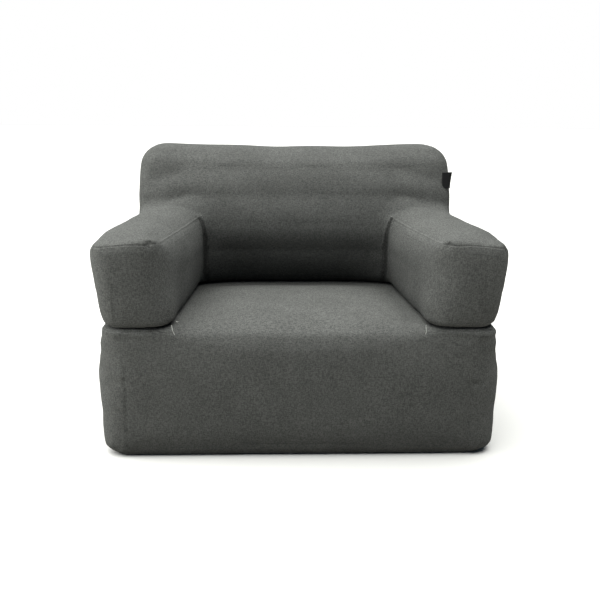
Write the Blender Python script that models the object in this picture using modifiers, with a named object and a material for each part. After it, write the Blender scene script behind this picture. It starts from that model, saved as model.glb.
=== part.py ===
"""Inflatable armchair: a sewn fabric cover over two air chambers, with webs, screw valves and zips.

Metres, +Z up. The chair stands on Z = 0 and faces -Y. Its origin is on the floor, under the middle of
its bounding box.
"""

import math
from dataclasses import dataclass, replace

import bmesh
import bpy
from mathutils import Matrix, Vector

# Chair
CHAIR_DEPTH = 0.85
FRONT_CROWN = 0.012

# Cloth, film and the clearances between layers
CLOTH_THICKNESS = 0.0008
SEAM_GAP = 0.0009
LAYER_GAP = 0.0004
SEAT_GAP = 0.0003
FILM_THICKNESS = 0.0005
WEB_THICKNESS = 0.0005
REAR_CLEARANCE = 0.004
CUT_OVERRUN = 0.01
MERGE_DISTANCE = 0.00001
SMOOTH_LIMIT = math.radians(40)

# Base block, which carries the seat panel
BASE_WIDTH = 1.076
BASE_HEIGHT = 0.366
BASE_CORNER_RADIUS = 0.065
BASE_SEAT_EDGE_RADIUS = 0.05
BASE_ARM_EDGE_RADIUS = 0.018
BASE_BOTTOM_RADIUS = 0.03
BASE_SIDE_CROWN = 0.012
SEAT_CROWN = 0.022
SEAT_CROWN_MARGIN = 0.238
SEAT_CROWN_START = 0.03
EDGE_CHANGE_MARGIN = 0.148
EDGE_CHANGE_LENGTH = 0.09

# Arms
ARM_RUN_IN = 0.057
ARM_FRONT_WIDTH = 0.185
ARM_REAR_WIDTH = 0.225
ARM_HEIGHT = 0.233
ARM_FRONT_SET_IN = 0.007
ARM_REAR_SET_IN = 0.048
ARM_LEAN = 0.026
ARM_CORNER_RADIUS = 0.046
ARM_TOP_RADIUS = 0.023
ARM_BOTTOM_RADIUS = 0.015
ARM_TOP_CROWN = 0.012
ARM_SHOULDER = 0.04
ARM_SIDE_CROWN = 0.008

# Backrest
BACK_SET_IN = 0.028
BACK_HEIGHT = 0.449
BACK_THICKNESS = 0.32
BACK_LIFT = 0.0012
BACK_CORNER_RADIUS = 0.066
BACK_FRONT_RADIUS = 0.04
BACK_REAR_RADIUS = 0.035
BACK_CROWN = 0.028
BACK_TOP_DIP = 0.018
BACK_TOP_SET_BACK = 0.08
BACK_UNDERCUT = 0.036
LUMBAR_RISE = 0.205
RECLINE_START_RISE = 0.154

# Tension webs
BASE_WEB_EDGE_DISTANCE = 0.268
BACK_WEB_RISES = (0.114, 0.194, 0.274, 0.344)
ARM_WEB_SET_IN = 0.101
AIR_HOLE_RADIUS = 0.03
AIR_HOLE_SPACING = 0.26
AIR_HOLE_SIDES = 10

# Valves, along their own axis from the outer face of the chamber
BASE_VALVE_SET_IN = 0.158
BASE_VALVE_Z = 0.21
BACK_VALVE_SET_IN = 0.21
BACK_VALVE_RISE = 0.234
VALVE_STEPS = 24
SMALL_STEPS = 16
FLANGE_RADIUS = 0.032
FLANGE_THICKNESS = 0.0015
NECK_RADIUS = 0.020
NECK_BORE_RADIUS = 0.0165
NECK_HEIGHT = 0.010
INSERT_BORE_RADIUS = 0.013
INSERT_DEPTH = 0.002
INSERT_RIM_RADIUS = 0.0215
INSERT_RIM_THICKNESS = 0.002
INSERT_SEAL_THICKNESS = 0.001
INSERT_SEAL_WIDTH = 0.0028
SPIDER_THICKNESS = 0.0025
SPIDER_RING_WIDTH = 0.004
SPOKE_WIDTH = 0.0024
HUB_RADIUS = 0.003
STEM_HOLE_RADIUS = 0.002
STEM_RADIUS = 0.0015
STEM_HEAD_RADIUS = 0.0028
STEM_HEAD_THICKNESS = 0.001
FLAP_RADIUS = 0.0115
FLAP_THICKNESS = 0.0011
FLAP_TRAVEL = 0.003
CAP_RADIUS = 0.0205
CAP_THICKNESS = 0.0025
CAP_PLUG_LENGTH = 0.006
CAP_SEAL_THICKNESS = 0.0007
CAP_SEAL_WIDTH = 0.0032
CAP_BEVEL = 0.0008
GRIP_LENGTH = 0.030
GRIP_WIDTH = 0.005
GRIP_HEIGHT = 0.0046
OPENING_RADIUS = 0.026
BINDING_INNER_RADIUS = 0.025
BINDING_WIDTH = 0.006
BINDING_THICKNESS = 0.001

# Zips
ZIP_LENGTH = 0.60
ZIP_X = -0.04
BASE_ZIP_Z = 0.085
BACK_ZIP_RISE = 0.084
SLOT_HALF_HEIGHT = 0.0065
PARTING_HALF_GAP = 0.0006
TAPE_WIDTH = 0.0134
TAPE_THICKNESS = 0.0006
COIL_WIDTH = 0.0024
COIL_RISE = 0.0006
SLIDER_LENGTH = 0.012
SLIDER_HALF_WIDTH = 0.005
SLIDER_PLATE = 0.001
SLIDER_CLEARANCE = 0.0004
SLIDER_LIP_WIDTH = 0.0008
SLIDER_POST_HALF_WIDTH = 0.0003
BRIDGE_HALF_LENGTH = 0.0045
BRIDGE_HEIGHT = 0.0038
BRIDGE_BAR = 0.001
BRIDGE_SHOULDER = 0.0014
BRIDGE_WIDTH = 0.0016
PULL_LENGTH = 0.028
PULL_WIDTH = 0.007
PULL_THICKNESS = 0.0012
PULL_EYE_LENGTH = 0.0062
PULL_EYE_WIDTH = 0.0034
PULL_EYE_WALL = 0.0008
PULL_ROUND = 0.0015

# Side tab, a folded ribbon in the seam of the backrest
TAB_HEIGHT = 0.05
TAB_LENGTH = 0.016
TAB_CLOTH = 0.0005
TAB_FOLD_RADIUS = 0.0005
TAB_DROP = 0.109
TAB_FOLD_STEPS = 4
PULL_ROUND_STEPS = 3

# Shares and shape powers
SEAT_LINE_SHARES = (-1, -2 / 3, -1 / 3, 1 / 3, 2 / 3, 1)
BASE_DEPTH_LINE_SHARES = (-1 / 4, -1 / 12)
ARM_LINE_SHARES = (1 / 3, 2 / 3)
FRONT_PANEL_LINE_SHARES = (-0.59, -0.5, -0.3, 0.3, 0.5, 0.59)
BACK_HOLE_DEPTH_SHARE = 0.4
BELLY_POWER = 2
SHOULDER_POWER = 2
SIDE_CROWN_POWER = 4
WALL_WEIGHT_POWER = 3
RECLINE_POWER = 1.4

EIGHTH_TURN = math.pi / 4
QUARTER_TURN = math.pi / 2
HALF_TURN = math.pi
SIDES = ("wall", "lid", "floor")

# Sizes that follow from the ones above
BACK_WIDTH = BASE_WIDTH - 2 * BACK_SET_IN
SEAT_CROWN_WIDTH = BASE_WIDTH - 2 * SEAT_CROWN_MARGIN
EDGE_CHANGE_END = BASE_WIDTH / 2 - EDGE_CHANGE_MARGIN
EDGE_CHANGE_START = EDGE_CHANGE_END - EDGE_CHANGE_LENGTH
ARM_OUTER_FRONT_X = BASE_WIDTH / 2 - ARM_FRONT_SET_IN
ARM_OUTER_REAR_X = BASE_WIDTH / 2 - ARM_REAR_SET_IN
ARM_WEB_X = BASE_WIDTH / 2 - ARM_WEB_SET_IN
BASE_WEB_SPACING = BASE_WIDTH / 2 - BASE_WEB_EDGE_DISTANCE
BASE_VALVE_X = BASE_WIDTH / 2 - BASE_VALVE_SET_IN
BACK_VALVE_X = BACK_WIDTH / 2 - BACK_VALVE_SET_IN
RECLINE_START_Z = BASE_HEIGHT + RECLINE_START_RISE
LUMBAR_Z = BASE_HEIGHT + LUMBAR_RISE
BACK_VALVE_Z = BASE_HEIGHT + BACK_VALVE_RISE
BACK_ZIP_Z = BASE_HEIGHT + BACK_ZIP_RISE
TAB_CENTRE_Z = BASE_HEIGHT + BACK_HEIGHT - TAB_DROP
INSERT_RADIUS = NECK_BORE_RADIUS - SEAT_GAP
INSERT_SEAL_BOTTOM = NECK_HEIGHT + SEAT_GAP
INSERT_SEAL_TOP = INSERT_SEAL_BOTTOM + INSERT_SEAL_THICKNESS
INSERT_RIM_BOTTOM = INSERT_SEAL_TOP + SEAT_GAP
INSERT_RIM_TOP = INSERT_RIM_BOTTOM + INSERT_RIM_THICKNESS
CAP_SEAL_BOTTOM = INSERT_RIM_TOP + SEAT_GAP
CAP_SEAL_TOP = CAP_SEAL_BOTTOM + CAP_SEAL_THICKNESS
CAP_BOTTOM = CAP_SEAL_TOP + SEAT_GAP
CAP_TOP = CAP_BOTTOM + CAP_THICKNESS
GRIP_TOP = CAP_TOP + GRIP_HEIGHT
CAP_PLUG_RADIUS = INSERT_BORE_RADIUS - SEAT_GAP
CHAMBER_INSET = CLOTH_THICKNESS + LAYER_GAP
CHAMBER_REAR_DEPTH = CHAMBER_INSET + REAR_CLEARANCE
CAP_STAND = GRIP_TOP - CHAMBER_REAR_DEPTH
FRONT_Y = FRONT_CROWN - (CHAIR_DEPTH + CAP_STAND) / 2
REAR_Y = FRONT_Y - FRONT_CROWN + CHAIR_DEPTH
BACK_FRONT_Y = REAR_Y - BACK_THICKNESS
ARM_LENGTH = BACK_FRONT_Y - FRONT_Y + ARM_RUN_IN
CHAMBER_REAR_Y = REAR_Y - CHAMBER_REAR_DEPTH
WEB_INSET = CHAMBER_INSET + FILM_THICKNESS + SEAT_GAP
TAPE_TOP = -CLOTH_THICKNESS - SEAT_GAP
TAPE_BOTTOM = TAPE_TOP - TAPE_THICKNESS
COIL_TOP = TAPE_TOP + COIL_RISE
COIL_BOTTOM = TAPE_BOTTOM - COIL_RISE
SLIDER_TOP_LOW = COIL_TOP + SLIDER_CLEARANCE
SLIDER_TOP = SLIDER_TOP_LOW + SLIDER_PLATE
SLIDER_BOTTOM_HIGH = COIL_BOTTOM - SLIDER_CLEARANCE
SLIDER_BOTTOM = SLIDER_BOTTOM_HIGH - SLIDER_PLATE
PULL_AXIS_HEIGHT = SLIDER_TOP + (BRIDGE_HEIGHT - BRIDGE_BAR) / 2

# Turns an outline drawn across and out of the cloth so that its plate runs along the zip.
SECTION_TURN = Matrix(((0, 0, 1, 0), (1, 0, 0, 0), (0, 1, 0, 0), (0, 0, 0, 1)))
# Turns an outline drawn along and out of the cloth so that its plate runs across the zip.
SIDE_TURN = Matrix.Rotation(QUARTER_TURN, 4, "X")


@dataclass(frozen=True)
class Block:
    """A soft box in its own axes, X across, Y along and Z from floor to lid."""

    centre: tuple
    half: tuple
    corner_radius: float
    lid_radius: object
    floor_radius: float
    crown: object
    place: object
    lines: tuple
    inset: float = 0.0
    mirrored: bool = False


def clamp(value):
    return min(max(value, 0.0), 1.0)


def smooth(value):
    """Rises from 0 to 1 with level ends."""
    share = clamp(value)
    return share * share * (3 - 2 * share)


def bulge(share, power):
    """1 in the middle of a span and 0 from its ends on."""
    return max(0.0, 1 - abs(share) ** power)


def inner(block, inset, rear=0.0, rear_axis=1, rear_sign=1):
    """The same block with every face moved in, and its rear face moved in further."""
    half = [size - inset for size in block.half]
    centre = list(block.centre)
    half[rear_axis] -= rear / 2
    centre[rear_axis] -= rear_sign * rear / 2
    return replace(block, half=tuple(half), centre=tuple(centre), inset=block.inset + inset)


def edge_profile(inset, depth, radius):
    """Inset and depth on a quarter round, for a point on the square edge that it replaces."""
    if max(inset, depth) >= radius:
        return inset, depth
    turn = EIGHTH_TURN * (1 + (inset - depth) / radius)
    return radius * (1 - math.cos(turn)), radius * (1 - math.sin(turn))


def plan_point(x, y, half, radius, inset):
    """Where a point goes when its ring, this far inside the wall, gets round corners."""
    across = abs(x) - (half[0] - radius)
    along = abs(y) - (half[1] - radius)
    if across <= 0 and along <= 0:
        return x, y
    if along <= 0:
        return math.copysign(half[0] - inset, x), y
    if across <= 0:
        return x, math.copysign(half[1] - inset, y)
    if across >= along:
        turn = EIGHTH_TURN * along / across
    else:
        turn = QUARTER_TURN - EIGHTH_TURN * across / along
    ring = radius - inset
    return (
        math.copysign(half[0] - radius + ring * math.cos(turn), x),
        math.copysign(half[1] - radius + ring * math.sin(turn), y),
    )


def rounded_point(block, point):
    x, y, z = point
    half = block.half
    inset = min(half[0] - abs(x), half[1] - abs(y))
    depth = half[2] - abs(z)
    edge = block.lid_radius(x, y) if z > 0 else block.floor_radius
    corner = block.corner_radius - block.inset
    inset, depth = edge_profile(max(inset, 0.0), max(depth, 0.0), edge - block.inset)
    x, y = plan_point(x, y, half, corner, inset)
    return Vector((x, y, math.copysign(half[2] - depth, z)))


def cut_lines(block, fine):
    """Where the plain box is divided, so that each round has its own faces."""
    corner = block.corner_radius - block.inset
    lid = block.lid_radius(block.half[0], 0.0) - block.inset
    front = block.lid_radius(0.0, -block.half[1]) - block.inset
    floor = block.floor_radius - block.inset
    across = {corner, lid}
    along = {corner, front}
    up = {front}
    down = {floor}
    if fine:
        across |= {corner / 2}
        along |= {corner / 2}
        up |= {lid if lid < front else lid / 2}
        down |= {floor / 2}
    found = []
    for axis, low, high in ((0, across, across), (1, along, along), (2, down, up)):
        half = block.half[axis]
        places = {-half + share for share in low} | {half - share for share in high}
        own = [line - block.centre[axis] for line in block.lines[axis]]
        places |= {line for line in own if abs(line) < half - MERGE_DISTANCE}
        found.append(sorted(places))
    return found


def split_quads(mesh, outwards):
    """Splits each quad along its outer diagonal, or its inner one, so that a chamber clears its cover."""
    for face in list(mesh.faces):
        corners = list(face.verts)
        if len(corners) != 4:
            continue
        first, second, third, fourth = corners
        rise = (first.co + third.co - second.co - fourth.co).dot(face.normal)
        ends = (first, third) if (rise > 0) == outwards else (second, fourth)
        bmesh.utils.face_split(face, *ends)


def block_mesh(block, fine=True):
    """The closed surface of a block as a bmesh, each face marked as wall, lid or floor."""
    mesh = bmesh.new()
    bmesh.ops.create_cube(mesh, size=2, matrix=Matrix.Diagonal((*block.half, 1)))
    for axis, places in enumerate(cut_lines(block, fine)):
        normal = Vector((0, 0, 0))
        normal[axis] = 1
        for place in places:
            everything = mesh.verts[:] + mesh.edges[:] + mesh.faces[:]
            bmesh.ops.bisect_plane(
                mesh, geom=everything, dist=MERGE_DISTANCE, plane_co=normal * place, plane_no=normal
            )
    mesh.normal_update()
    side = mesh.faces.layers.int.new("side")
    for face in mesh.faces:
        face[side] = SIDES.index("wall")
        if abs(face.normal.z) > math.cos(EIGHTH_TURN):
            face[side] = SIDES.index("lid" if face.normal.z > 0 else "floor")
    for vert in mesh.verts:
        local = rounded_point(block, vert.co)
        shares = [value / size for value, size in zip(local, block.half)]
        local += Vector(block.crown(local + Vector(block.centre), shares))
        vert.co = block.place(local + Vector(block.centre))
    if block.mirrored:
        bmesh.ops.reverse_faces(mesh, faces=mesh.faces[:])
    mesh.normal_update()
    split_quads(mesh, outwards=fine)
    return mesh


def collection(name, helpers=False):
    made = bpy.data.collections.new(name)
    made.hide_render = helpers
    bpy.context.scene.collection.children.link(made)
    return made


def material(name, colour, roughness, metallic=0.0):
    made = bpy.data.materials.new(name)
    made.use_nodes = True
    shader = made.node_tree.nodes["Principled BSDF"]
    shader.inputs["Base Color"].default_value = (*colour, 1)
    shader.inputs["Roughness"].default_value = roughness
    shader.inputs["Metallic"].default_value = metallic
    made.diffuse_color = (*colour, 1)
    return made


def add_object(name, mesh, finish=None):
    """Links a mesh as a part with its finish, or as a helper where it has none."""
    made = bpy.data.objects.new(name, mesh)
    if finish:
        mesh.materials.append(finish)
        PARTS.objects.link(made)
    else:
        made.hide_render = True
        made.display_type = "WIRE"
        HELPERS.objects.link(made)
    return made


def mesh_object(name, source, finish=None):
    mesh = bpy.data.meshes.new(name)
    source.to_mesh(mesh)
    source.free()
    if finish:
        mesh.shade_smooth()
        mesh.set_sharp_from_angle(angle=SMOOTH_LIMIT)
    return add_object(name, mesh, finish)


def combine(target, tool, operation="DIFFERENCE"):
    modifier = target.modifiers.new(f"{operation} {tool.name}", "BOOLEAN")
    modifier.operation = operation
    modifier.object = tool
    modifier.solver = "EXACT"


def box(name, low, high, finish=None):
    source = bmesh.new()
    middle = (Vector(low) + Vector(high)) / 2
    size = Vector(high) - Vector(low)
    bmesh.ops.create_cube(source, size=1, matrix=Matrix.LocRotScale(middle, None, size))
    return mesh_object(name, source, finish)


def rear_cylinder(name, x, z, radius, low_y, high_y, steps):
    """A cylinder along Y, from low_y to high_y."""
    source = bmesh.new()
    place = Matrix.Translation((x, (low_y + high_y) / 2, z)) @ Matrix.Rotation(QUARTER_TURN, 4, "X")
    bmesh.ops.create_cone(
        source, cap_ends=True, segments=steps, radius1=radius, radius2=radius,
        depth=high_y - low_y, matrix=place,
    )
    return mesh_object(name, source)


def draw_in_boundary(source, distance):
    """Moves the open edge of a panel this far into the panel."""
    moves = {}
    for vert in source.verts:
        rim = [edge.other_vert(vert).co for edge in vert.link_edges if edge.is_boundary]
        if len(rim) != 2:
            continue
        tangent = (rim[1] - rim[0]).normalized()
        middle = Vector((0, 0, 0))
        for face in vert.link_faces:
            middle += face.calc_center_median() / len(vert.link_faces)
        inward = middle - vert.co
        inward -= tangent * inward.dot(tangent)
        moves[vert] = inward.normalized() * distance
    for vert, move in moves.items():
        vert.co += move


def panel(name, block, side, finish):
    """One cloth panel of a block's cover: the faces of one side, given their thickness inwards."""
    source = block_mesh(block)
    layer = source.faces.layers.int["side"]
    others = [face for face in source.faces if face[layer] != SIDES.index(side)]
    bmesh.ops.delete(source, geom=others, context="FACES")
    draw_in_boundary(source, SEAM_GAP / 2)
    made = mesh_object(name, source, finish)
    modifier = made.modifiers.new("Cloth", "SOLIDIFY")
    modifier.thickness = CLOTH_THICKNESS
    modifier.offset = -1
    return made


def level_place(point):
    return point


def base_edge_radius(x, y):
    """The seat's front edge is full between the arms and tight under them, as all other edges are."""
    under_arm = smooth((abs(x) - EDGE_CHANGE_START) / (EDGE_CHANGE_END - EDGE_CHANGE_START))
    radius = BASE_SEAT_EDGE_RADIUS + (BASE_ARM_EDGE_RADIUS - BASE_SEAT_EDGE_RADIUS) * under_arm
    return radius if y < 0 else BASE_ARM_EDGE_RADIUS


def base_crown(point, shares):
    x, y, z = shares
    belly = bulge(z, BELLY_POWER)
    out = BASE_SIDE_CROWN * bulge(y, SIDE_CROWN_POWER) * belly * abs(x) ** WALL_WEIGHT_POWER
    forward = FRONT_CROWN * bulge(x, SIDE_CROWN_POWER) * belly * clamp(-y) ** WALL_WEIGHT_POWER
    seat_start = FRONT_Y + SEAT_CROWN_START
    seat_share = 2 * (point.y - seat_start) / (BACK_FRONT_Y - seat_start) - 1
    seat = bulge(2 * point.x / SEAT_CROWN_WIDTH, SIDE_CROWN_POWER)
    lift = SEAT_CROWN * seat * bulge(seat_share, SIDE_CROWN_POWER) * clamp(z) ** WALL_WEIGHT_POWER
    return (math.copysign(out, x), -forward, lift)


def base_block():
    middle_y = (FRONT_Y + REAR_Y) / 2
    depth = REAR_Y - FRONT_Y
    seat_half = SEAT_CROWN_WIDTH / 2
    return Block(
        centre=(0.0, middle_y, BASE_HEIGHT / 2),
        half=(BASE_WIDTH / 2, depth / 2, BASE_HEIGHT / 2),
        corner_radius=BASE_CORNER_RADIUS,
        lid_radius=base_edge_radius,
        floor_radius=BASE_BOTTOM_RADIUS,
        crown=base_crown,
        place=level_place,
        lines=(
            (-EDGE_CHANGE_END, *(seat_half * share for share in SEAT_LINE_SHARES), EDGE_CHANGE_END),
            (*(middle_y + depth * share for share in BASE_DEPTH_LINE_SHARES), BACK_FRONT_Y),
            (BASE_HEIGHT / 2,),
        ),
    )


def arm_crown(point, shares):
    x, y, z = shares
    belly = bulge(z, BELLY_POWER)
    out = ARM_SIDE_CROWN * bulge(y, SIDE_CROWN_POWER) * belly * abs(x) ** WALL_WEIGHT_POWER
    forward = FRONT_CROWN * bulge(x, BELLY_POWER) * belly * clamp(-y) ** WALL_WEIGHT_POWER
    rise = ARM_TOP_CROWN * bulge(y, SIDE_CROWN_POWER) + ARM_SHOULDER * clamp(y) ** SHOULDER_POWER
    lift = rise * bulge(x, BELLY_POWER) * clamp(z) ** WALL_WEIGHT_POWER
    return (math.copysign(out, x), -forward, lift)


def arm_place(side):
    """Leans the arm outwards and widens its top towards the backrest, on the side given as 1 or -1."""

    def place(point):
        share = (point.y - FRONT_Y) / ARM_LENGTH
        rise = (point.z - BASE_HEIGHT) / ARM_HEIGHT
        outer_x = ARM_OUTER_FRONT_X + (ARM_OUTER_REAR_X - ARM_OUTER_FRONT_X) * share
        width = ARM_FRONT_WIDTH + (ARM_REAR_WIDTH - ARM_FRONT_WIDTH) * share * rise
        lean = ARM_LEAN * rise
        from_outer = (ARM_FRONT_WIDTH / 2 - point.x) / ARM_FRONT_WIDTH * width
        return Vector((side * (outer_x + lean - from_outer), point.y, point.z))

    return place


def arm_edge_radius(x, y):
    return ARM_TOP_RADIUS


def arm_block(side):
    return Block(
        centre=(0.0, FRONT_Y + ARM_LENGTH / 2, BASE_HEIGHT + LAYER_GAP + ARM_HEIGHT / 2),
        half=(ARM_FRONT_WIDTH / 2, ARM_LENGTH / 2, ARM_HEIGHT / 2),
        corner_radius=ARM_CORNER_RADIUS,
        lid_radius=arm_edge_radius,
        floor_radius=ARM_BOTTOM_RADIUS,
        crown=arm_crown,
        place=arm_place(side),
        lines=(
            (0.0,),
            tuple(FRONT_Y + ARM_LENGTH * share for share in ARM_LINE_SHARES),
            (BASE_HEIGHT + LAYER_GAP + ARM_HEIGHT / 2,),
        ),
        mirrored=side < 0,
    )


def back_place(point):
    """Turns the lid to face -Y, leans it back above the arms and draws it in below the small of the back."""
    x, height, forward = point
    top = BASE_HEIGHT + BACK_LIFT + BACK_HEIGHT
    rise = clamp((height - RECLINE_START_Z) / (top - RECLINE_START_Z)) ** RECLINE_POWER
    drop = clamp((LUMBAR_Z - height) / LUMBAR_RISE) * bulge(2 * x / SEAT_CROWN_WIDTH, SIDE_CROWN_POWER)
    set_back = BACK_TOP_SET_BACK * rise + BACK_UNDERCUT * drop
    return Vector((x, REAR_Y - forward + set_back * forward / BACK_THICKNESS, height))


def back_crown(point, shares):
    x, height, forward = shares
    belly = bulge(x, SIDE_CROWN_POWER) * bulge(height, BELLY_POWER)
    swell = BACK_CROWN * belly * clamp(forward) ** WALL_WEIGHT_POWER
    dip = BACK_TOP_DIP * bulge(x, BELLY_POWER) * clamp(height) ** WALL_WEIGHT_POWER
    return (0.0, -dip, swell)


def back_edge_radius(x, y):
    return BACK_FRONT_RADIUS


def back_block():
    middle_z = BASE_HEIGHT + BACK_LIFT + BACK_HEIGHT / 2
    half_width = BACK_WIDTH / 2
    return Block(
        centre=(0.0, middle_z, BACK_THICKNESS / 2),
        half=(half_width, BACK_HEIGHT / 2, BACK_THICKNESS / 2),
        corner_radius=BACK_CORNER_RADIUS,
        lid_radius=back_edge_radius,
        floor_radius=BACK_REAR_RADIUS,
        crown=back_crown,
        place=back_place,
        lines=(
            tuple(half_width * share for share in FRONT_PANEL_LINE_SHARES),
            ((BASE_HEIGHT + LUMBAR_Z) / 2, RECLINE_START_Z, LUMBAR_Z, (LUMBAR_Z + BASE_HEIGHT + BACK_HEIGHT) / 2),
            (BACK_THICKNESS / 2,),
        ),
    )


def chamber_block(block, inset):
    """A base or arm block drawn in to its air chamber, with the clearance behind the zip."""
    return inner(block, inset, REAR_CLEARANCE)


def back_chamber_block(inset):
    """The backrest's rear is its floor side, so its clearance lies along its own Z axis."""
    return inner(back_block(), inset, REAR_CLEARANCE, rear_axis=2, rear_sign=-1)


def arm_cutter_block(side):
    """The arm inside its cloth, carried down past the base so that no strip is left below it."""
    block = inner(arm_block(side), CLOTH_THICKNESS)
    middle = list(block.centre)
    half = list(block.half)
    middle[2] -= ARM_BOTTOM_RADIUS / 2
    half[2] += ARM_BOTTOM_RADIUS / 2
    return replace(block, centre=tuple(middle), half=tuple(half))


def side_name(side):
    return "left" if side < 0 else "right"


def make_base_cover():
    """The seat, band and bottom panels. The band comes back, to be opened at the valve and the zip."""
    block = base_block()
    panel("seat_panel", block, "lid", CLOTH)
    panel("base_bottom_panel", block, "floor", CLOTH)
    return panel("base_band", block, "wall", CLOTH)


def make_arm_cover(side, back_cutter):
    block = arm_block(side)
    name = side_name(side)
    panels = (
        panel(f"{name}_arm_top_panel", block, "lid", CLOTH),
        panel(f"{name}_arm_band", block, "wall", CLOTH),
        panel(f"{name}_arm_bottom_panel", block, "floor", CLOTH),
    )
    for piece in panels:
        combine(piece, back_cutter)


def make_back_cover():
    """The backrest's three panels, with the two notches that the arms open into."""
    block = back_block()
    front = panel("back_front_panel", block, "lid", CLOTH)
    gusset = panel("back_gusset", block, "wall", CLOTH)
    rear = panel("back_rear_panel", block, "floor", CLOTH)
    for side in (-1, 1):
        cutter = mesh_object(f"{side_name(side)}_arm_mouth", block_mesh(arm_cutter_block(side)))
        combine(front, cutter)
        combine(gusset, cutter)
    return rear


def make_base_chamber():
    outer = chamber_block(base_block(), CHAMBER_INSET)
    hollow = chamber_block(base_block(), CHAMBER_INSET + FILM_THICKNESS)
    chamber = mesh_object("base_bladder", block_mesh(outer, fine=False), FILM)
    combine(chamber, mesh_object("base_bladder_hollow", block_mesh(hollow, fine=False)))
    combine(chamber, valve_hole("base_bladder_valve_hole", BASE_VALVE_X, BASE_VALVE_Z))


def joined_blocks(name, inset, finish=None):
    """The backrest and both arms as one solid, drawn in from the cover."""
    whole = mesh_object(name, block_mesh(back_chamber_block(inset), fine=False), finish)
    for side in (-1, 1):
        arm = mesh_object(f"{name}_{side_name(side)}_arm", block_mesh(inner(arm_block(side), inset), fine=False))
        combine(whole, arm, "UNION")
    return whole


def make_back_chamber():
    """One chamber fills the backrest and both arms."""
    chamber = joined_blocks("back_and_arm_bladder", CHAMBER_INSET, FILM)
    combine(chamber, joined_blocks("back_and_arm_hollow", CHAMBER_INSET + FILM_THICKNESS))
    combine(chamber, valve_hole("back_bladder_valve_hole", BACK_VALVE_X, BACK_VALVE_Z))


def valve_hole(name, x, z):
    radius = NECK_RADIUS + SEAT_GAP
    low = CHAMBER_REAR_Y - CUT_OVERRUN
    return rear_cylinder(name, x, z, radius, low, CHAMBER_REAR_Y + CUT_OVERRUN, VALVE_STEPS)


def make_web(name, block, at, normal, holes, end_y=REAR_Y):
    """A sheet across a chamber: the chamber's section at a plane, ended at end_y and pierced."""
    source = block_mesh(block, fine=False)
    everything = source.verts[:] + source.edges[:] + source.faces[:]
    cut = bmesh.ops.bisect_plane(
        source, geom=everything, dist=MERGE_DISTANCE, plane_co=at, plane_no=normal,
        clear_inner=True, clear_outer=True,
    )
    outline = [item for item in cut["geom_cut"] if isinstance(item, bmesh.types.BMEdge)]
    bmesh.ops.contextual_create(source, geom=outline)
    everything = source.verts[:] + source.edges[:] + source.faces[:]
    bmesh.ops.bisect_plane(
        source, geom=everything, dist=MERGE_DISTANCE, plane_co=(0, end_y, 0), plane_no=(0, 1, 0),
        clear_outer=True,
    )
    web = mesh_object(name, source, WEB)
    modifier = web.modifiers.new("Film", "SOLIDIFY")
    modifier.thickness = WEB_THICKNESS
    modifier.offset = 0
    for hole in holes:
        combine(web, hole)


def air_hole(name, centre, axis):
    source = bmesh.new()
    turn = Matrix.Rotation(QUARTER_TURN, 4, "Y") if axis == 0 else Matrix.Identity(4)
    bmesh.ops.create_cone(
        source, cap_ends=True, segments=AIR_HOLE_SIDES, radius1=AIR_HOLE_RADIUS,
        radius2=AIR_HOLE_RADIUS, depth=2 * CUT_OVERRUN, matrix=Matrix.Translation(centre) @ turn,
    )
    return mesh_object(name, source)


def make_base_webs():
    block = chamber_block(base_block(), WEB_INSET)
    middle_y = (FRONT_Y + REAR_Y) / 2
    names = ("base_web_left", "base_web_middle", "base_web_right")
    for name, step in zip(names, (-1, 0, 1)):
        x = step * BASE_WEB_SPACING
        holes = [
            air_hole(f"{name}_hole_{index}", (x, middle_y + way * AIR_HOLE_SPACING / 2, BASE_HEIGHT / 2), 0)
            for index, way in enumerate((-1, 1))
        ]
        make_web(name, block, (x, 0, 0), (1, 0, 0), holes)


def make_back_webs():
    block = back_chamber_block(WEB_INSET)
    names = ("back_web_lowest", "back_web_low", "back_web_high", "back_web_top")
    hole_y = REAR_Y - BACK_THICKNESS * BACK_HOLE_DEPTH_SHARE
    for name, rise in zip(names, BACK_WEB_RISES):
        z = BASE_HEIGHT + rise
        holes = [
            air_hole(f"{name}_hole_{index}", (way * AIR_HOLE_SPACING, hole_y, z), 2)
            for index, way in enumerate((-1, 0, 1))
        ]
        make_web(name, block, (0, 0, z), (0, 0, 1), holes)


def make_arm_web(side):
    """The arm's upright web stops short of the backrest, where the chambers join."""
    name = f"{side_name(side)}_arm_web"
    block = inner(arm_block(side), WEB_INSET)
    x = side * ARM_WEB_X
    middle_y = FRONT_Y + ARM_LENGTH / 2
    holes = [
        air_hole(
            f"{name}_hole_{index}",
            (x, middle_y + way * AIR_HOLE_SPACING / 2, BASE_HEIGHT + ARM_HEIGHT / 2), 0,
        )
        for index, way in enumerate((-1, 1))
    ]
    make_web(name, block, (x, 0, 0), (1, 0, 0), holes, BACK_FRONT_Y - BACK_CROWN)


def turned(name, outline, finish=None, steps=VALVE_STEPS, ring=True):
    """Turns (radius, height) points about Z, listed down the outer side, as a ring or a solid."""
    mesh = bpy.data.meshes.new(name)
    count = len(outline)
    edges = [(index, index + 1) for index in range(count - 1)]
    if ring:
        edges.append((count - 1, 0))
    mesh.from_pydata([(radius, 0, height) for radius, height in outline], edges, [])
    made = add_object(name, mesh, finish)
    modifier = made.modifiers.new("Turn", "SCREW")
    modifier.steps = steps
    modifier.render_steps = steps
    modifier.use_merge_vertices = True
    modifier.merge_threshold = MERGE_DISTANCE
    modifier.use_smooth_shade = False
    return made


def ring_outline(inner_radius, outer_radius, low, high):
    return [(outer_radius, high), (outer_radius, low), (inner_radius, low), (inner_radius, high)]


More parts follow.
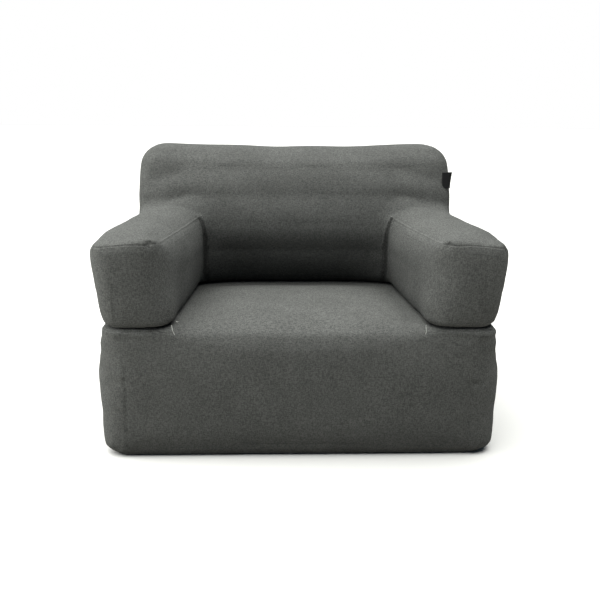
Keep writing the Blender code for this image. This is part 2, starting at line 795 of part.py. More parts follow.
def valve_base_outline():
    flange_top = -FILM_THICKNESS - SEAT_GAP
    flange_bottom = flange_top - FLANGE_THICKNESS
    return [
        (NECK_RADIUS, NECK_HEIGHT),
        (NECK_RADIUS, flange_top),
        (FLANGE_RADIUS, flange_top),
        (FLANGE_RADIUS, flange_bottom),
        (NECK_BORE_RADIUS, flange_bottom),
        (NECK_BORE_RADIUS, NECK_HEIGHT),
    ]


def insert_outline():
    return [
        (INSERT_RIM_RADIUS, INSERT_RIM_TOP),
        (INSERT_RIM_RADIUS, INSERT_RIM_BOTTOM),
        (INSERT_RADIUS, INSERT_RIM_BOTTOM),
        (INSERT_RADIUS, -INSERT_DEPTH),
        (INSERT_BORE_RADIUS - SPIDER_RING_WIDTH, -INSERT_DEPTH),
        (INSERT_BORE_RADIUS - SPIDER_RING_WIDTH, SPIDER_THICKNESS - INSERT_DEPTH),
        (INSERT_BORE_RADIUS, SPIDER_THICKNESS - INSERT_DEPTH),
        (INSERT_BORE_RADIUS, INSERT_RIM_TOP),
    ]


def hub_outline():
    return ring_outline(STEM_HOLE_RADIUS, HUB_RADIUS, -INSERT_DEPTH, SPIDER_THICKNESS - INSERT_DEPTH)


def flap_outline():
    """A disc below the spider, and a stem through its hub with a head that keeps it in."""
    disc_top = -INSERT_DEPTH - SEAT_GAP
    head_bottom = SPIDER_THICKNESS - INSERT_DEPTH + FLAP_TRAVEL + SEAT_GAP
    return [
        (0.0, head_bottom + STEM_HEAD_THICKNESS),
        (STEM_HEAD_RADIUS, head_bottom + STEM_HEAD_THICKNESS),
        (STEM_HEAD_RADIUS, head_bottom),
        (STEM_RADIUS, head_bottom),
        (STEM_RADIUS, disc_top),
        (FLAP_RADIUS, disc_top),
        (FLAP_RADIUS, disc_top - FLAP_THICKNESS),
        (0.0, disc_top - FLAP_THICKNESS),
    ]


def cap_outline():
    return [
        (0.0, CAP_TOP),
        (CAP_RADIUS - CAP_BEVEL, CAP_TOP),
        (CAP_RADIUS, CAP_TOP - CAP_BEVEL),
        (CAP_RADIUS, CAP_BOTTOM),
        (CAP_PLUG_RADIUS, CAP_BOTTOM),
        (CAP_PLUG_RADIUS, CAP_BOTTOM - CAP_PLUG_LENGTH),
        (0.0, CAP_BOTTOM - CAP_PLUG_LENGTH),
    ]


def make_spider(insert, frame, name):
    """Hub and spokes of the insert, which carry the flap's stem."""
    hub = turned(f"{name}_hub", hub_outline(), steps=SMALL_STEPS)
    hub.parent = frame
    reach = INSERT_BORE_RADIUS - SPIDER_RING_WIDTH / 2
    half = SPOKE_WIDTH / 2
    spokes = (
        ("across_low", (-reach, -half), (-HUB_RADIUS + half / 2, half)),
        ("across_high", (HUB_RADIUS - half / 2, -half), (reach, half)),
        ("up_low", (-half, -reach), (half, -HUB_RADIUS + half / 2)),
        ("up_high", (-half, HUB_RADIUS - half / 2), (half, reach)),
    )
    combine(insert, hub, "UNION")
    for label, low, high in spokes:
        spoke = box(f"{name}_spoke_{label}", (*low, -INSERT_DEPTH), (*high, SPIDER_THICKNESS - INSERT_DEPTH))
        spoke.parent = frame
        combine(insert, spoke, "UNION")


def make_valve(name, x, z):
    """One screw valve, built along the Z axis of an empty that points out of the chair's rear."""
    frame = bpy.data.objects.new(f"{name}_valve_axis", None)
    frame.location = (x, CHAMBER_REAR_Y, z)
    frame.rotation_euler = (-QUARTER_TURN, 0, 0)
    PARTS.objects.link(frame)
    insert = turned(f"{name}_valve_insert", insert_outline(), VALVE_PLASTIC)
    make_spider(insert, frame, f"{name}_valve")
    cap = turned(f"{name}_valve_cap", cap_outline(), VALVE_PLASTIC, ring=False)
    grip = box(
        f"{name}_valve_grip",
        (-GRIP_LENGTH / 2, -GRIP_WIDTH / 2, CAP_TOP - CAP_BEVEL),
        (GRIP_LENGTH / 2, GRIP_WIDTH / 2, GRIP_TOP),
    )
    grip.parent = frame
    combine(cap, grip, "UNION")
    insert_seal = ring_outline(
        NECK_RADIUS - INSERT_SEAL_WIDTH, NECK_RADIUS, INSERT_SEAL_BOTTOM, INSERT_SEAL_TOP
    )
    cap_seal = ring_outline(
        INSERT_BORE_RADIUS + SEAT_GAP, INSERT_BORE_RADIUS + SEAT_GAP + CAP_SEAL_WIDTH,
        CAP_SEAL_BOTTOM, CAP_SEAL_TOP,
    )
    cloth_face = CHAMBER_REAR_DEPTH + SEAT_GAP
    binding = ring_outline(
        BINDING_INNER_RADIUS, BINDING_INNER_RADIUS + BINDING_WIDTH,
        cloth_face, cloth_face + BINDING_THICKNESS,
    )
    pieces = (
        insert,
        cap,
        turned(f"{name}_valve_base", valve_base_outline(), VALVE_PLASTIC),
        turned(f"{name}_valve_insert_seal", insert_seal, RUBBER),
        turned(f"{name}_valve_cap_seal", cap_seal, RUBBER),
        turned(f"{name}_valve_flap", flap_outline(), SILICONE, steps=SMALL_STEPS, ring=False),
        turned(f"{name}_valve_binding", binding, BINDING),
    )
    for piece in pieces:
        piece.parent = frame


def open_cover_at_valve(piece, name, x, z):
    hole = rear_cylinder(
        f"{name}_cover_opening", x, z, OPENING_RADIUS, REAR_Y - CUT_OVERRUN, REAR_Y + CUT_OVERRUN, VALVE_STEPS
    )
    combine(piece, hole)


def flat_piece(name, outlines, thickness, place, finish=None):
    """A plate cut to flat outlines, the second and later ones being holes, as a welded mesh."""
    curve = bpy.data.curves.new(f"{name}_outline", "CURVE")
    curve.dimensions = "2D"
    curve.fill_mode = "BOTH"
    curve.extrude = thickness / 2
    for outline in outlines:
        spline = curve.splines.new("POLY")
        spline.points.add(len(outline) - 1)
        for point, (x, y) in zip(spline.points, outline):
            point.co = Vector((x, y, 0)).to_4d()
        spline.use_cyclic_u = True
    drawn = bpy.data.objects.new(f"{name}_outline", curve)
    bpy.context.scene.collection.objects.link(drawn)
    bpy.context.view_layer.update()
    graph = bpy.context.evaluated_depsgraph_get()
    mesh = bpy.data.meshes.new_from_object(drawn.evaluated_get(graph))
    mesh.name = name
    bpy.data.objects.remove(drawn)
    source = bmesh.new()
    source.from_mesh(mesh)
    bmesh.ops.remove_doubles(source, verts=source.verts[:], dist=MERGE_DISTANCE)
    bmesh.ops.recalc_face_normals(source, faces=source.faces[:])
    source.to_mesh(mesh)
    source.free()
    made = add_object(name, mesh, finish)
    made.matrix_world = place
    return made


def rectangle(low_x, low_y, high_x, high_y):
    return [(low_x, low_y), (high_x, low_y), (high_x, high_y), (low_x, high_y)]


def rounded_rectangle(low_x, low_y, high_x, high_y, radius, steps):
    corners = (
        (high_x - radius, low_y + radius, -QUARTER_TURN),
        (high_x - radius, high_y - radius, 0),
        (low_x + radius, high_y - radius, QUARTER_TURN),
        (low_x + radius, low_y + radius, HALF_TURN),
    )
    points = []
    for x, y, start in corners:
        for step in range(steps + 1):
            turn = start + QUARTER_TURN * step / steps
            points.append((x + radius * math.cos(turn), y + radius * math.sin(turn)))
    return points


def zip_matrix(z):
    """A zip's own axes: X runs along it, Y across it, upwards, and Z out of the cloth."""
    turn = Matrix(((-1, 0, 0), (0, 0, 1), (0, 1, 0))).to_4x4()
    return Matrix.Translation((ZIP_X, REAR_Y, z)) @ turn


def tape_outline(way):
    """Half of the zip: a tape with its row of teeth as a ridge on its inner edge."""
    near = PARTING_HALF_GAP
    coil = near + COIL_WIDTH
    far = near + TAPE_WIDTH
    points = [
        (near, COIL_BOTTOM),
        (coil, COIL_BOTTOM),
        (coil, TAPE_BOTTOM),
        (far, TAPE_BOTTOM),
        (far, TAPE_TOP),
        (coil, TAPE_TOP),
        (coil, COIL_TOP),
        (near, COIL_TOP),
    ]
    return [(way * across, out) for across, out in points]


def slider_outline():
    """Two plates held apart by the post that splits the teeth, with lips on the outer plate."""
    wide = SLIDER_HALF_WIDTH
    lip = wide - SLIDER_LIP_WIDTH
    lip_low = TAPE_TOP + SLIDER_CLEARANCE
    post = SLIDER_POST_HALF_WIDTH
    right = [
        (post, SLIDER_BOTTOM_HIGH),
        (post, SLIDER_TOP_LOW),
        (lip, SLIDER_TOP_LOW),
        (lip, lip_low),
        (wide, lip_low),
        (wide, SLIDER_TOP),
    ]
    left = [(-across, out) for across, out in reversed(right)]
    bottom = [
        (-wide, SLIDER_BOTTOM_HIGH),
        (-wide, SLIDER_BOTTOM),
        (wide, SLIDER_BOTTOM),
        (wide, SLIDER_BOTTOM_HIGH),
    ]
    return right + left + bottom


def bridge_outline():
    """The arch on the slider that the pull swings on."""
    foot = SLIDER_TOP - SLIDER_PLATE / 2
    top = SLIDER_TOP + BRIDGE_HEIGHT
    outer = BRIDGE_HALF_LENGTH
    shoulder = BRIDGE_SHOULDER
    return [
        (outer, foot),
        (outer, top - shoulder),
        (outer - shoulder, top),
        (shoulder - outer, top),
        (-outer, top - shoulder),
        (-outer, foot),
        (BRIDGE_BAR - outer, foot),
        (BRIDGE_BAR - outer, top - BRIDGE_BAR),
        (outer - BRIDGE_BAR, top - BRIDGE_BAR),
        (outer - BRIDGE_BAR, foot),
    ]


def make_zip(name, z):
    place = zip_matrix(z)
    for label, way in (("upper", 1), ("lower", -1)):
        flat_piece(f"{name}_zip_{label}_tape", [tape_outline(way)], ZIP_LENGTH, place @ SECTION_TURN, ZIP_TAPE)
    start = Matrix.Translation((SLIDER_LENGTH - ZIP_LENGTH / 2, 0, 0))
    slider = flat_piece(
        f"{name}_zip_slider", [slider_outline()], SLIDER_LENGTH, place @ start @ SECTION_TURN, ZIP_METAL
    )
    bridge = flat_piece(f"{name}_zip_bridge", [bridge_outline()], BRIDGE_WIDTH, place @ start @ SIDE_TURN)
    combine(slider, bridge, "UNION")
    half = PULL_WIDTH / 2
    wall = PULL_EYE_WALL
    outer = rounded_rectangle(-wall, -half, PULL_LENGTH - wall, half, PULL_ROUND, PULL_ROUND_STEPS)
    eye = rectangle(wall, -PULL_EYE_WIDTH / 2, PULL_EYE_LENGTH - wall, PULL_EYE_WIDTH / 2)
    lie = Matrix.Translation((0, 0, PULL_AXIS_HEIGHT))
    flat_piece(f"{name}_zip_pull", [outer, eye], PULL_THICKNESS, place @ start @ lie, ZIP_METAL)


def open_cover_at_zip(piece, name, z):
    half = ZIP_LENGTH / 2
    slot = box(
        f"{name}_zip_slot",
        (ZIP_X - half, REAR_Y - CUT_OVERRUN, z - SLOT_HALF_HEIGHT),
        (ZIP_X + half, REAR_Y + CUT_OVERRUN, z + SLOT_HALF_HEIGHT),
    )
    combine(piece, slot)


def back_seam_point(z):
    """A point of the seam between the front panel and the gusset, on the chair's right."""
    from_side = BACK_FRONT_RADIUS * (1 - math.cos(EIGHTH_TURN))
    from_front = BACK_FRONT_RADIUS * (1 - math.sin(EIGHTH_TURN))
    return back_place(Vector((BACK_WIDTH / 2 - from_side, z, BACK_THICKNESS - from_front)))


def make_side_tab():
    """A ribbon folded into a flat loop, its two ends in the seam beside the front panel."""
    low_end = back_seam_point(TAB_CENTRE_Z - TAB_HEIGHT / 2)
    high_end = back_seam_point(TAB_CENTRE_Z + TAB_HEIGHT / 2)
    out = Vector((math.cos(EIGHTH_TURN), -math.sin(EIGHTH_TURN), 0))
    aside = Vector((math.sin(EIGHTH_TURN), math.cos(EIGHTH_TURN), 0))
    spread = TAB_FOLD_RADIUS + TAB_CLOTH / 2
    straight = TAB_LENGTH - spread - TAB_CLOTH / 2
    start = spread + SEAT_GAP
    path = [(start, spread), (straight, spread)]
    for step in range(1, TAB_FOLD_STEPS):
        turn = QUARTER_TURN - HALF_TURN * step / TAB_FOLD_STEPS
        path.append((straight + spread * math.cos(turn), spread * math.sin(turn)))
    path += [(straight, -spread), (start, -spread)]
    source = bmesh.new()
    points = [source.verts.new(low_end + out * along + aside * across) for along, across in path]
    edges = [source.edges.new(pair) for pair in zip(points, points[1:])]
    grown = bmesh.ops.extrude_edge_only(source, edges=edges)["geom"]
    top = [item for item in grown if isinstance(item, bmesh.types.BMVert)]
    bmesh.ops.translate(source, verts=top, vec=high_end - low_end)
    bmesh.ops.recalc_face_normals(source, faces=source.faces[:])
    tab = mesh_object("side_tab", source, RIBBON)
    modifier = tab.modifiers.new("Ribbon", "SOLIDIFY")
    modifier.thickness = TAB_CLOTH
    modifier.offset = 0


for old in list(bpy.data.objects):
    bpy.data.objects.remove(old)

PARTS = collection("inflatable_chair")
HELPERS = collection("cutters", helpers=True)

CLOTH = material("charcoal_cloth", (0.075, 0.078, 0.076), 0.9)
FILM = material("chamber_film", (0.42, 0.44, 0.45), 0.45)
WEB = material("web_film", (0.62, 0.64, 0.65), 0.5)
VALVE_PLASTIC = material("valve_plastic", (0.022, 0.023, 0.024), 0.38)
RUBBER = material("seal_rubber", (0.012, 0.012, 0.012), 0.7)
SILICONE = material("flap_silicone", (0.70, 0.72, 0.72), 0.35)
BINDING = material("binding_tape", (0.03, 0.031, 0.031), 0.85)
ZIP_TAPE = material("zip_tape", (0.016, 0.016, 0.017), 0.8)
ZIP_METAL = material("zip_metal", (0.05, 0.05, 0.052), 0.35, 1.0)
RIBBON = material("tab_ribbon", (0.008, 0.008, 0.009), 0.6)

BASE_BAND = make_base_cover()
BACK_REAR_PANEL = make_back_cover()
BACK_CUTTER = mesh_object("back_cutter", block_mesh(inner(back_block(), -LAYER_GAP)))
for arm_side in (-1, 1):
    make_arm_cover(arm_side, BACK_CUTTER)
    make_arm_web(arm_side)
make_base_chamber()
make_back_chamber()
make_base_webs()
make_back_webs()
make_valve("base", BASE_VALVE_X, BASE_VALVE_Z)
make_valve("back", BACK_VALVE_X, BACK_VALVE_Z)
make_zip("base", BASE_ZIP_Z)
make_zip("back", BACK_ZIP_Z)
make_side_tab()
open_cover_at_valve(BASE_BAND, "base", BASE_VALVE_X, BASE_VALVE_Z)
open_cover_at_valve(BACK_REAR_PANEL, "back", BACK_VALVE_X, BACK_VALVE_Z)
open_cover_at_zip(BASE_BAND, "base", BASE_ZIP_Z)
open_cover_at_zip(BACK_REAR_PANEL, "back", BACK_ZIP_Z)
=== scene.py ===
"""Inflatable armchair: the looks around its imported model, as Blender operators.

Metres, +Z up. The chair stands on Z = 0 and faces -Y. Every finished piece keeps its object at the origin.
"""

import math
from dataclasses import dataclass

import bpy
import numpy as np
from bpy.props import FloatProperty, FloatVectorProperty, PointerProperty
from mathutils import Matrix, Vector
from mathutils.bvhtree import BVHTree
from mathutils.kdtree import KDTree


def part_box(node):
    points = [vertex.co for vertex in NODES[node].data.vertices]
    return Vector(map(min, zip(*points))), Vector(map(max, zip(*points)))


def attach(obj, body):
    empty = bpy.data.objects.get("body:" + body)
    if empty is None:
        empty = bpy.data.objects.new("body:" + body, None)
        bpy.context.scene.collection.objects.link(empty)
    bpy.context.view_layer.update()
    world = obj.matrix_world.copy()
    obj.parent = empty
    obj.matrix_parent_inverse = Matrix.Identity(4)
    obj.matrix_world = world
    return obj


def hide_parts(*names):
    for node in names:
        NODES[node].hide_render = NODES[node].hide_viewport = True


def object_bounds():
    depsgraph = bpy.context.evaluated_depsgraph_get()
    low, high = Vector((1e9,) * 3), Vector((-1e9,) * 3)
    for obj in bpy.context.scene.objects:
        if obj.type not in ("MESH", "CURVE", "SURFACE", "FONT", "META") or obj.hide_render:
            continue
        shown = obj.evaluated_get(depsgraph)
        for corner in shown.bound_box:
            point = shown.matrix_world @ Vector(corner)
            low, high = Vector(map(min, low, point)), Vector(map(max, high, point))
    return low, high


bl_info = {
    "name": "Inflatable armchair looks",
    "version": (1, 0, 0),
    "blender": (4, 5, 0),
    "location": "3D View > Sidebar > Armchair",
    "description": "Builds the cloth, zips, valves and stage of an inflatable armchair round its model",
    "category": "Add Mesh",
}

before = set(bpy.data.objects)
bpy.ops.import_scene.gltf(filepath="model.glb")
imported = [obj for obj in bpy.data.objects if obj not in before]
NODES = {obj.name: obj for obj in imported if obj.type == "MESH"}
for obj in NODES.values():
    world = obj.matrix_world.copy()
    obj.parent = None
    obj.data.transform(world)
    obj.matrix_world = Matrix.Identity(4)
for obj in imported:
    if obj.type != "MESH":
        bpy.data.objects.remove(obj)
CAD_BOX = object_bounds()
MICROMETRE_DIGITS = 6


def corners(node):
    """The lowest and the highest corner of a CAD node, to the micrometre."""
    return [[round(float(place), MICROMETRE_DIGITS) for place in corner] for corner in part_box(node)]


def middle(low_node, high_node, axis):
    """The middle along an axis, 0 to 2, between one CAD node's low side and another's high side."""
    return round((corners(low_node)[0][axis] + corners(high_node)[1][axis]) / 2, MICROMETRE_DIGITS)


# Base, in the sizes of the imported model
BASE_WIDTH = 1.076
BASE_HEIGHT = 0.366
BASE_CORNER_RADIUS = 0.065
SEAT_EDGE_RADIUS = 0.05
SEAM_EDGE_RADIUS = 0.015
BASE_BOTTOM_RADIUS = 0.03
BASE_SIDE_CROWN = 0.012
FRONT_CROWN = 0.012
SEAT_CROWN = 0.022
SEAT_CROWN_HALF_WIDTH = 0.30
SEAT_CROWN_START = 0.03
EDGE_CHANGE_START = 0.30
EDGE_CHANGE_END = 0.39
FRONT_Y = -0.4214
REAR_Y = corners("base_band")[1][1]

# Arms
ARM_LENGTH = 0.575
ARM_FRONT_WIDTH = 0.185
ARM_REAR_WIDTH = 0.225
ARM_HEIGHT = 0.233
ARM_OUTER_FRONT_X = 0.531
ARM_OUTER_REAR_X = 0.49
ARM_LEAN = 0.026
ARM_CORNER_RADIUS = 0.046
ARM_TOP_RADIUS = 0.023
ARM_BOTTOM_RADIUS = 0.015
ARM_TOP_CROWN = 0.012
ARM_SHOULDER = 0.04
ARM_SIDE_CROWN = 0.008
ARM_FLOOR_GAP = 0.0004

# Backrest
BACK_WIDTH = 2 * corners("back_gusset")[1][0]
BACK_HEIGHT = 0.449
BACK_THICKNESS = 0.32
BACK_LIFT = 0.0012
BACK_CORNER_RADIUS = 0.066
BACK_FRONT_RADIUS = 0.04
BACK_REAR_RADIUS = 0.035
BACK_CROWN = 0.028
BACK_TOP_DIP = 0.018
BACK_TOP_SET_BACK = 0.08
BACK_UNDERCUT = 0.036
LUMBAR_Z = 0.571
RECLINE_START_Z = 0.52
BACK_FRONT_Y = REAR_Y - BACK_THICKNESS
WEB_LINES = (0.486, 0.571, 0.654, 0.717)

# Rear fittings
PARTS = ("base", "back")
CHAMBER_REAR_Y = corners("base_bladder")[1][1]
VALVES = {
    part: [middle(f"{part}_valve_base", f"{part}_valve_base", axis) for axis in (0, 2)]
    for part in PARTS
}
OPENING_RADIUS = 0.026
BORE_RADIUS = 0.0163
BORE_DEPTH = 0.03
NECK_RADIUS = 0.0202
FILM_THICKNESS = 0.0005
BINDING_RADIUS = 0.028
BINDING_FACE_Y = corners("base_valve_binding")[1][1]
ZIPS = {part: middle(f"{part}_zip_lower_tape", f"{part}_zip_upper_tape", 2) for part in PARTS}
ZIP_X = middle("base_zip_lower_tape", "base_zip_upper_tape", 0)
ZIP_LENGTH = round(2 * (corners("base_zip_lower_tape")[1][0] - ZIP_X), MICROMETRE_DIGITS)
SLOT_HALF_HEIGHT = 0.0065
SLOT_DEPTH = 0.005
ROUND_STEPS = 48

# Side tab
TAB_LOW, TAB_HIGH = corners("side_tab")
TAB_REACH = 0.012
TAB_FOOT_REACH = 0.005
TAB_REACH_POWER = 1.5
TAB_ROOT = 0.022
TAB_FRONT_INSET = 0.0085
TAB_LEAN = 0.010
TAB_CURL = 0.004
TAB_LIFT = 0.0015
TAB_ROOT_HALF_GAP = 0.00144
TAB_FOLD_HALF_GAP = 0.00192
TAB_ROWS = 14
TAB_COLUMNS = 18

# Zip teeth, stitches and the film in the valve openings
TEETH_START_INSET = 0.004
TEETH_END_INSET = 0.012
TOOTH_SUNK = 0.0012
TOOTH_RISE = 0.0018
TOOTH_LENGTH = 0.0024
TOOTH_RADIUS = 0.0007
STITCH_LIFT = 0.0001
STITCH_MARGIN = 0.0025
STITCH_LENGTH_SHARE = 0.72
STITCH_RADIUS = 0.0003
ROD_SIDES = 6
FILM_CLEARANCE = 0.0002
FILM_CUT_DEPTH = 0.01

# Loose threads
THREAD_RADIUS = 0.0005
THREAD_SIDES_LEVEL = 1
THREAD_ORDER = 3
THREADS = {
    "left_thread_long": (
        (-0.338, -0.428, 0.381),
        (-0.336, -0.437, 0.374),
        (-0.333, -0.439, 0.364),
        (-0.329, -0.439, 0.357),
    ),
    "left_thread_short": (
        (-0.328, -0.414, 0.388),
        (-0.325, -0.420, 0.386),
        (-0.321, -0.421, 0.389),
    ),
    "right_thread": (
        (0.330, -0.430, 0.380),
        (0.329, -0.438, 0.372),
        (0.331, -0.440, 0.364),
        (0.328, -0.440, 0.358),
    ),
}

# Powers of the swelling
BELLY_POWER = 2
SHOULDER_POWER = 2
SIDE_CROWN_POWER = 4
WALL_WEIGHT_POWER = 3
RECLINE_POWER = 1.4

# Grids, smoothing and what holds the cloth while the air swells it
GRID_SPACING = 0.008
MERGE_DISTANCE = 0.00001
SMOOTH_SHARE = 0.5
SMOOTH_ROUNDS = 3
CLOTH_FRAMES = 20
FLAT_BAND = 0.004
REST_BAND = 0.0015
SEAM_HOLD = 0.2
SEAM_HOLD_REACH = 0.01
WEB_HOLD = 0.25
WEB_HOLD_WIDTH = 0.008

# Where the backrest and the arms are smoothed into one another
FRONT_LINE_STEPS = 81
JOIN_ROUNDS = 30
JOIN_REACH = 0.035
JOIN_RISE = 0.026
JOIN_INNER_X = 0.28
JOIN_INNER_FADE = 0.04
JOIN_OUTER_X = 0.44
JOIN_OUTER_FADE = 0.05
CORNER_REACH = 0.06
CORNER_ROUNDS = 110
OUTER_CORNER_SHARE = 0.4
EDGE_REACH = 0.035
EDGE_ROUNDS = 45
EDGE_START = 0.03
EDGE_FADE = 0.09
TOP_EDGE_DROP = 0.01

# Seams: their sunk lines and the painted shade along them
SEAM_STEP = 0.004
SEAM_REACH = 0.03
SEAM_OFF = 0.012
SEAM_CLOSE = 0.004
SEAM_FADE = 0.006
WRINKLE_SLOWING = 6.3
WRINKLE_SWAY = 2.4
WRINKLE_FADE_SHARE = 0.4
WRINKLE_FADE_TURN = 2.7
WRINKLE_FADE_START = 1.0
SEAT_SEAM_END_X = 0.36
SEAT_SEAM_FADE = 0.04
SEAT_SEAM_DEPTH = 0.06
SEAT_SEAM_SHARE = 0.2
TOP_SEAM_REACH = 0.014
TOP_SEAM_ROUNDS = 16
TOP_SEAM_Z = 0.70
TOP_SEAM_RISE = 0.03
TOP_SEAM_BAND = 0.04
TOP_SEAM_FADE = 0.03
TOP_SEAM_SHARE = 0.25
ARM_SEAM_MARGIN_X = 0.02
ARM_SEAM_MARGIN_Y = 0.03
# Along the arms' inner top edges the seam stands raised, and its line gets a painted highlight in place of
# painted shade
RAISED_SEAM_START = 0.04
RAISED_SEAM_FADE = 0.02
RAISED_SEAM_SHARE = 0.9

# The base's sides: fuller low down and under the arms, with two level valleys (height, reach, depth)
FOOT_FADE = 0.03
LOW_FILL = 0.0045
LOW_FILL_ON_RIGHT = 0.003
LOW_FILL_TOP_Z = 0.27
LOW_FILL_FADE = 0.05
HIGH_FILL = 0.003
HIGH_FILL_TOP_Z = 0.34
HIGH_FILL_FADE = 0.03
SIDE_VALLEYS = ((0.292, 0.011, 0.0025), (0.115, 0.022, 0.003))
VALLEY_DRIFT_SHARE = 0.35
VALLEY_DRIFT_TURN = 9.0
VALLEY_DRIFT_START = 3.0

# The fold in the base under each arm, and the slow swing of its front
UNDER_ARM_X = 0.37
UNDER_ARM_FADE = 0.05
UNDER_ARM_FOLD = 0.0035
UNDER_ARM_FOLD_Z = 0.352
UNDER_ARM_FOLD_REACH = 0.0055
UNDER_ARM_SWAY = 0.006
UNDER_ARM_SWAY_TURN = 14.0
FRONT_SWING = 0.0012
FRONT_SWING_X_TURN = 7.0
FRONT_SWING_X_START = 1.0
FRONT_SWING_Z_TURN = 11.0
FRONT_SWING_SLANT = 2.0
FRONT_FLAT = 0.006

# The arms: full at the inner front corner and along the sides, and lower at the outer front edge
INNER_CORNER_X = 0.01
INNER_CORNER_Y = 0.03
INNER_CORNER_FILL = 0.017
INNER_CORNER_REACH = 0.045
INNER_CORNER_LOW_SHARE = 1.25
INNER_CORNER_FALL_SHARE = 1.1
INNER_CORNER_FOOT_SHARE = 0.08
INNER_SIDE_X = 0.25
INNER_SIDE_FILL = 0.007
OUTER_SIDE_FILL = 0.007
OUTER_SIDE_FILL_ON_RIGHT = 0.004
OUTER_SIDE_BAND = 0.02
FULLEST_HEIGHT_SHARE = 0.45
ARM_DROP = 0.009
ARM_DROP_X = 0.05
ARM_DROP_WIDTH = 0.13
ARM_DROP_START_SHARE = 0.55
ARM_DROP_RISE_SHARE = 0.4
ARM_DROP_END = 0.06
ARM_DROP_FADE = 0.14
ARM_HIP_START_SHARE = 0.5
ARM_HIP_RISE_SHARE = 0.3
ARM_HIP_Y = -0.19
ARM_HIP_REACH = 0.12
ARM_HIP_X = 0.10
ARM_HIP_WIDTH = 0.09
ARM_HIP_OUT = 0.010
ARM_HIP_LIFT = 0.005
ARM_FOOT_DRAW = 0.003
ARM_FOOT_SHARE = 0.07
ARM_FOOT_BAND = 0.03

# The backrest: level valleys (height, depth in the middle, depth at the ends) that droop at the sides
BACK_VALLEYS = ((0.742, 0.0005, 0.0042), (0.664, 0.0004, 0.0070), (0.571, 0.0006, 0.0))
BACK_VALLEY_REACH = 0.014
VALLEY_END_START_X = 0.27
VALLEY_END_FADE_IN = 0.10
VALLEY_END_STOP_X = 0.45
VALLEY_END_FADE_OUT = 0.045
VALLEY_DROOP = 0.03
VALLEY_DROOP_X = 0.33
VALLEY_DROOP_WIDTH = 0.13
VALLEY_MIDDLE_X = 0.40
VALLEY_MIDDLE_FADE = 0.07
PUFF_LINES = (0.40, 0.486, 0.571, 0.664, 0.742)
PUFF_SWELL = 0.0012
PUFF_FADE = 0.08
LUMBAR_SWELL = 0.008
LUMBAR_SWELL_Z = 0.556
LUMBAR_REACH = 0.040
LUMBAR_HALF_WIDTH = 0.40
FOOT_DRAW = 0.012
FOOT_DRAW_REACH = 0.050
FOOT_DRAW_HALF_WIDTH = 0.30
TOP_SET_BACK = 0.003
END_SET_BACK = 0.011
END_SET_BACK_X = 0.25
END_SET_BACK_WIDTH = 0.12
SET_BACK_Z = 0.65
SET_BACK_RISE = 0.10
RIM_SET_BACK = 0.004
RIM_SET_BACK_Z = 0.755
RIM_SET_BACK_RISE = 0.04
SET_BACK_END_Y = 0.17
SET_BACK_FADE = 0.2
GUSSET_Z = 0.75
GUSSET_WAVE = 0.0014
GUSSET_WAVE_TURN = 16.0
GUSSET_SWAY = 2.0
GUSSET_SWAY_TURN = 5.0
INNER_FACE_END_Y = 0.05
INNER_FACE_X = 0.40
INNER_WAVE = 0.0012
INNER_WAVE_Z_TURN = 40.0
INNER_WAVE_Y_TURN = 6.0

# Tucks at the top seam of each arm's front: both ends of each, as X from the middle and Z
TUCK_REACH = 0.0045
TUCK_DEPTH = 0.0065
TUCK_FADE = 0.6
TUCK_HIDDEN = 0.03
ARM_TUCKS = {
    -1: (
        ((0.367, 0.602), (0.374, 0.588)),
        ((0.392, 0.596), (0.396, 0.584)),
        ((0.548, 0.586), (0.545, 0.570)),
    ),
    1: (
        ((0.370, 0.602), (0.376, 0.584)),
        ((0.384, 0.600), (0.388, 0.586)),
        ((0.548, 0.588), (0.541, 0.572)),
    ),
}

# The upright folds between arms and backrest, and the channel that each lies in
FOLD_X = 0.288
FOLD_HALF = (0.0065, 0.114, 0.008)
FOLD_EDGE = 0.001
FOLD_RISE = 0.003
FOLD_SUNK = 0.005
FOLD_LEAN = 0.017
FOLD_LEAN_START_Z = 0.50
FOLD_LEAN_HEIGHT = 0.09
FOLD_LOOK = 0.004
FOLD_STEPS = 40
FOLD_EVEN_STEPS = 5
FOLD_SPACING = 0.0025
CHANNEL_HALF = (0.0115, 0.117, 0.016)
CHANNEL_RISE = -0.001
CHANNEL_SHIFT = 0.0015
CHANNEL_SPACING = 0.006

# Finishes
YARN_STRETCH_SHARE = 0.22
YARN_DEPTH_SHARE = 0.5
YARN_NOISE_SCALE = 560.0
YARN_NOISE_DETAIL = 2.0
YARN_RANGE = (1.22, 1.78)
NOISE_RANGE = (0.3, 0.7)
PATCH_NOISE_SCALE = 9.0
PATCH_RANGE = (0.94, 1.06)
CLOTH_SHEEN_ROUGHNESS = 0.5
CLOTH_SPECULAR = 0.1
# Painted shade along each seam: half width of its dark line, and the share of the colour left at the line's
# middle
SEAM_LINE_HALF_WIDTH = 0.0011
SEAM_SHADE = 0.66
SEAM_LIP = 0.0035
WEAVE_BUMP_DISTANCE = 0.0002
SEAM_BUMP_DISTANCE = 0.0009
WORN_DARK_SHARE = 0.75
WORN_LIGHT_SHARE = 1.25
WORN_ROUGHNESS_DRIFT = 0.06
GRAIN_FINENESS = 12
RIB_DARK_SHARE = 0.6
RIB_LIGHT_SHARE = 1.6
RIB_HEIGHT = 0.00015
TAPE_ROUGHNESS = 0.85
FLOOR_NOISE_SCALE = 3.0
FLOOR_NOISE_RANGE = (0.2, 0.8)
FLOOR_GRAIN_RANGE = (0.985, 1.0)
FLOOR_ROUGHNESS = 0.95
FLOOR_SPECULAR = 0.1
LIGHT_COLOUR = (1.0, 1.0, 0.965)

EIGHTH_TURN = math.pi / 4
QUARTER_TURN = math.pi / 2

# Camera, on a frame as wide as it is high
CAMERA_PLACE = (-0.073, -2.4114, 0.943)
CAMERA_PITCH = math.radians(-14.0)
CAMERA_YAW = math.radians(2.02)
CAMERA_ROLL = math.radians(0.45)
CAMERA_SENSOR = 36.0
CAMERA_LENS = 47.1


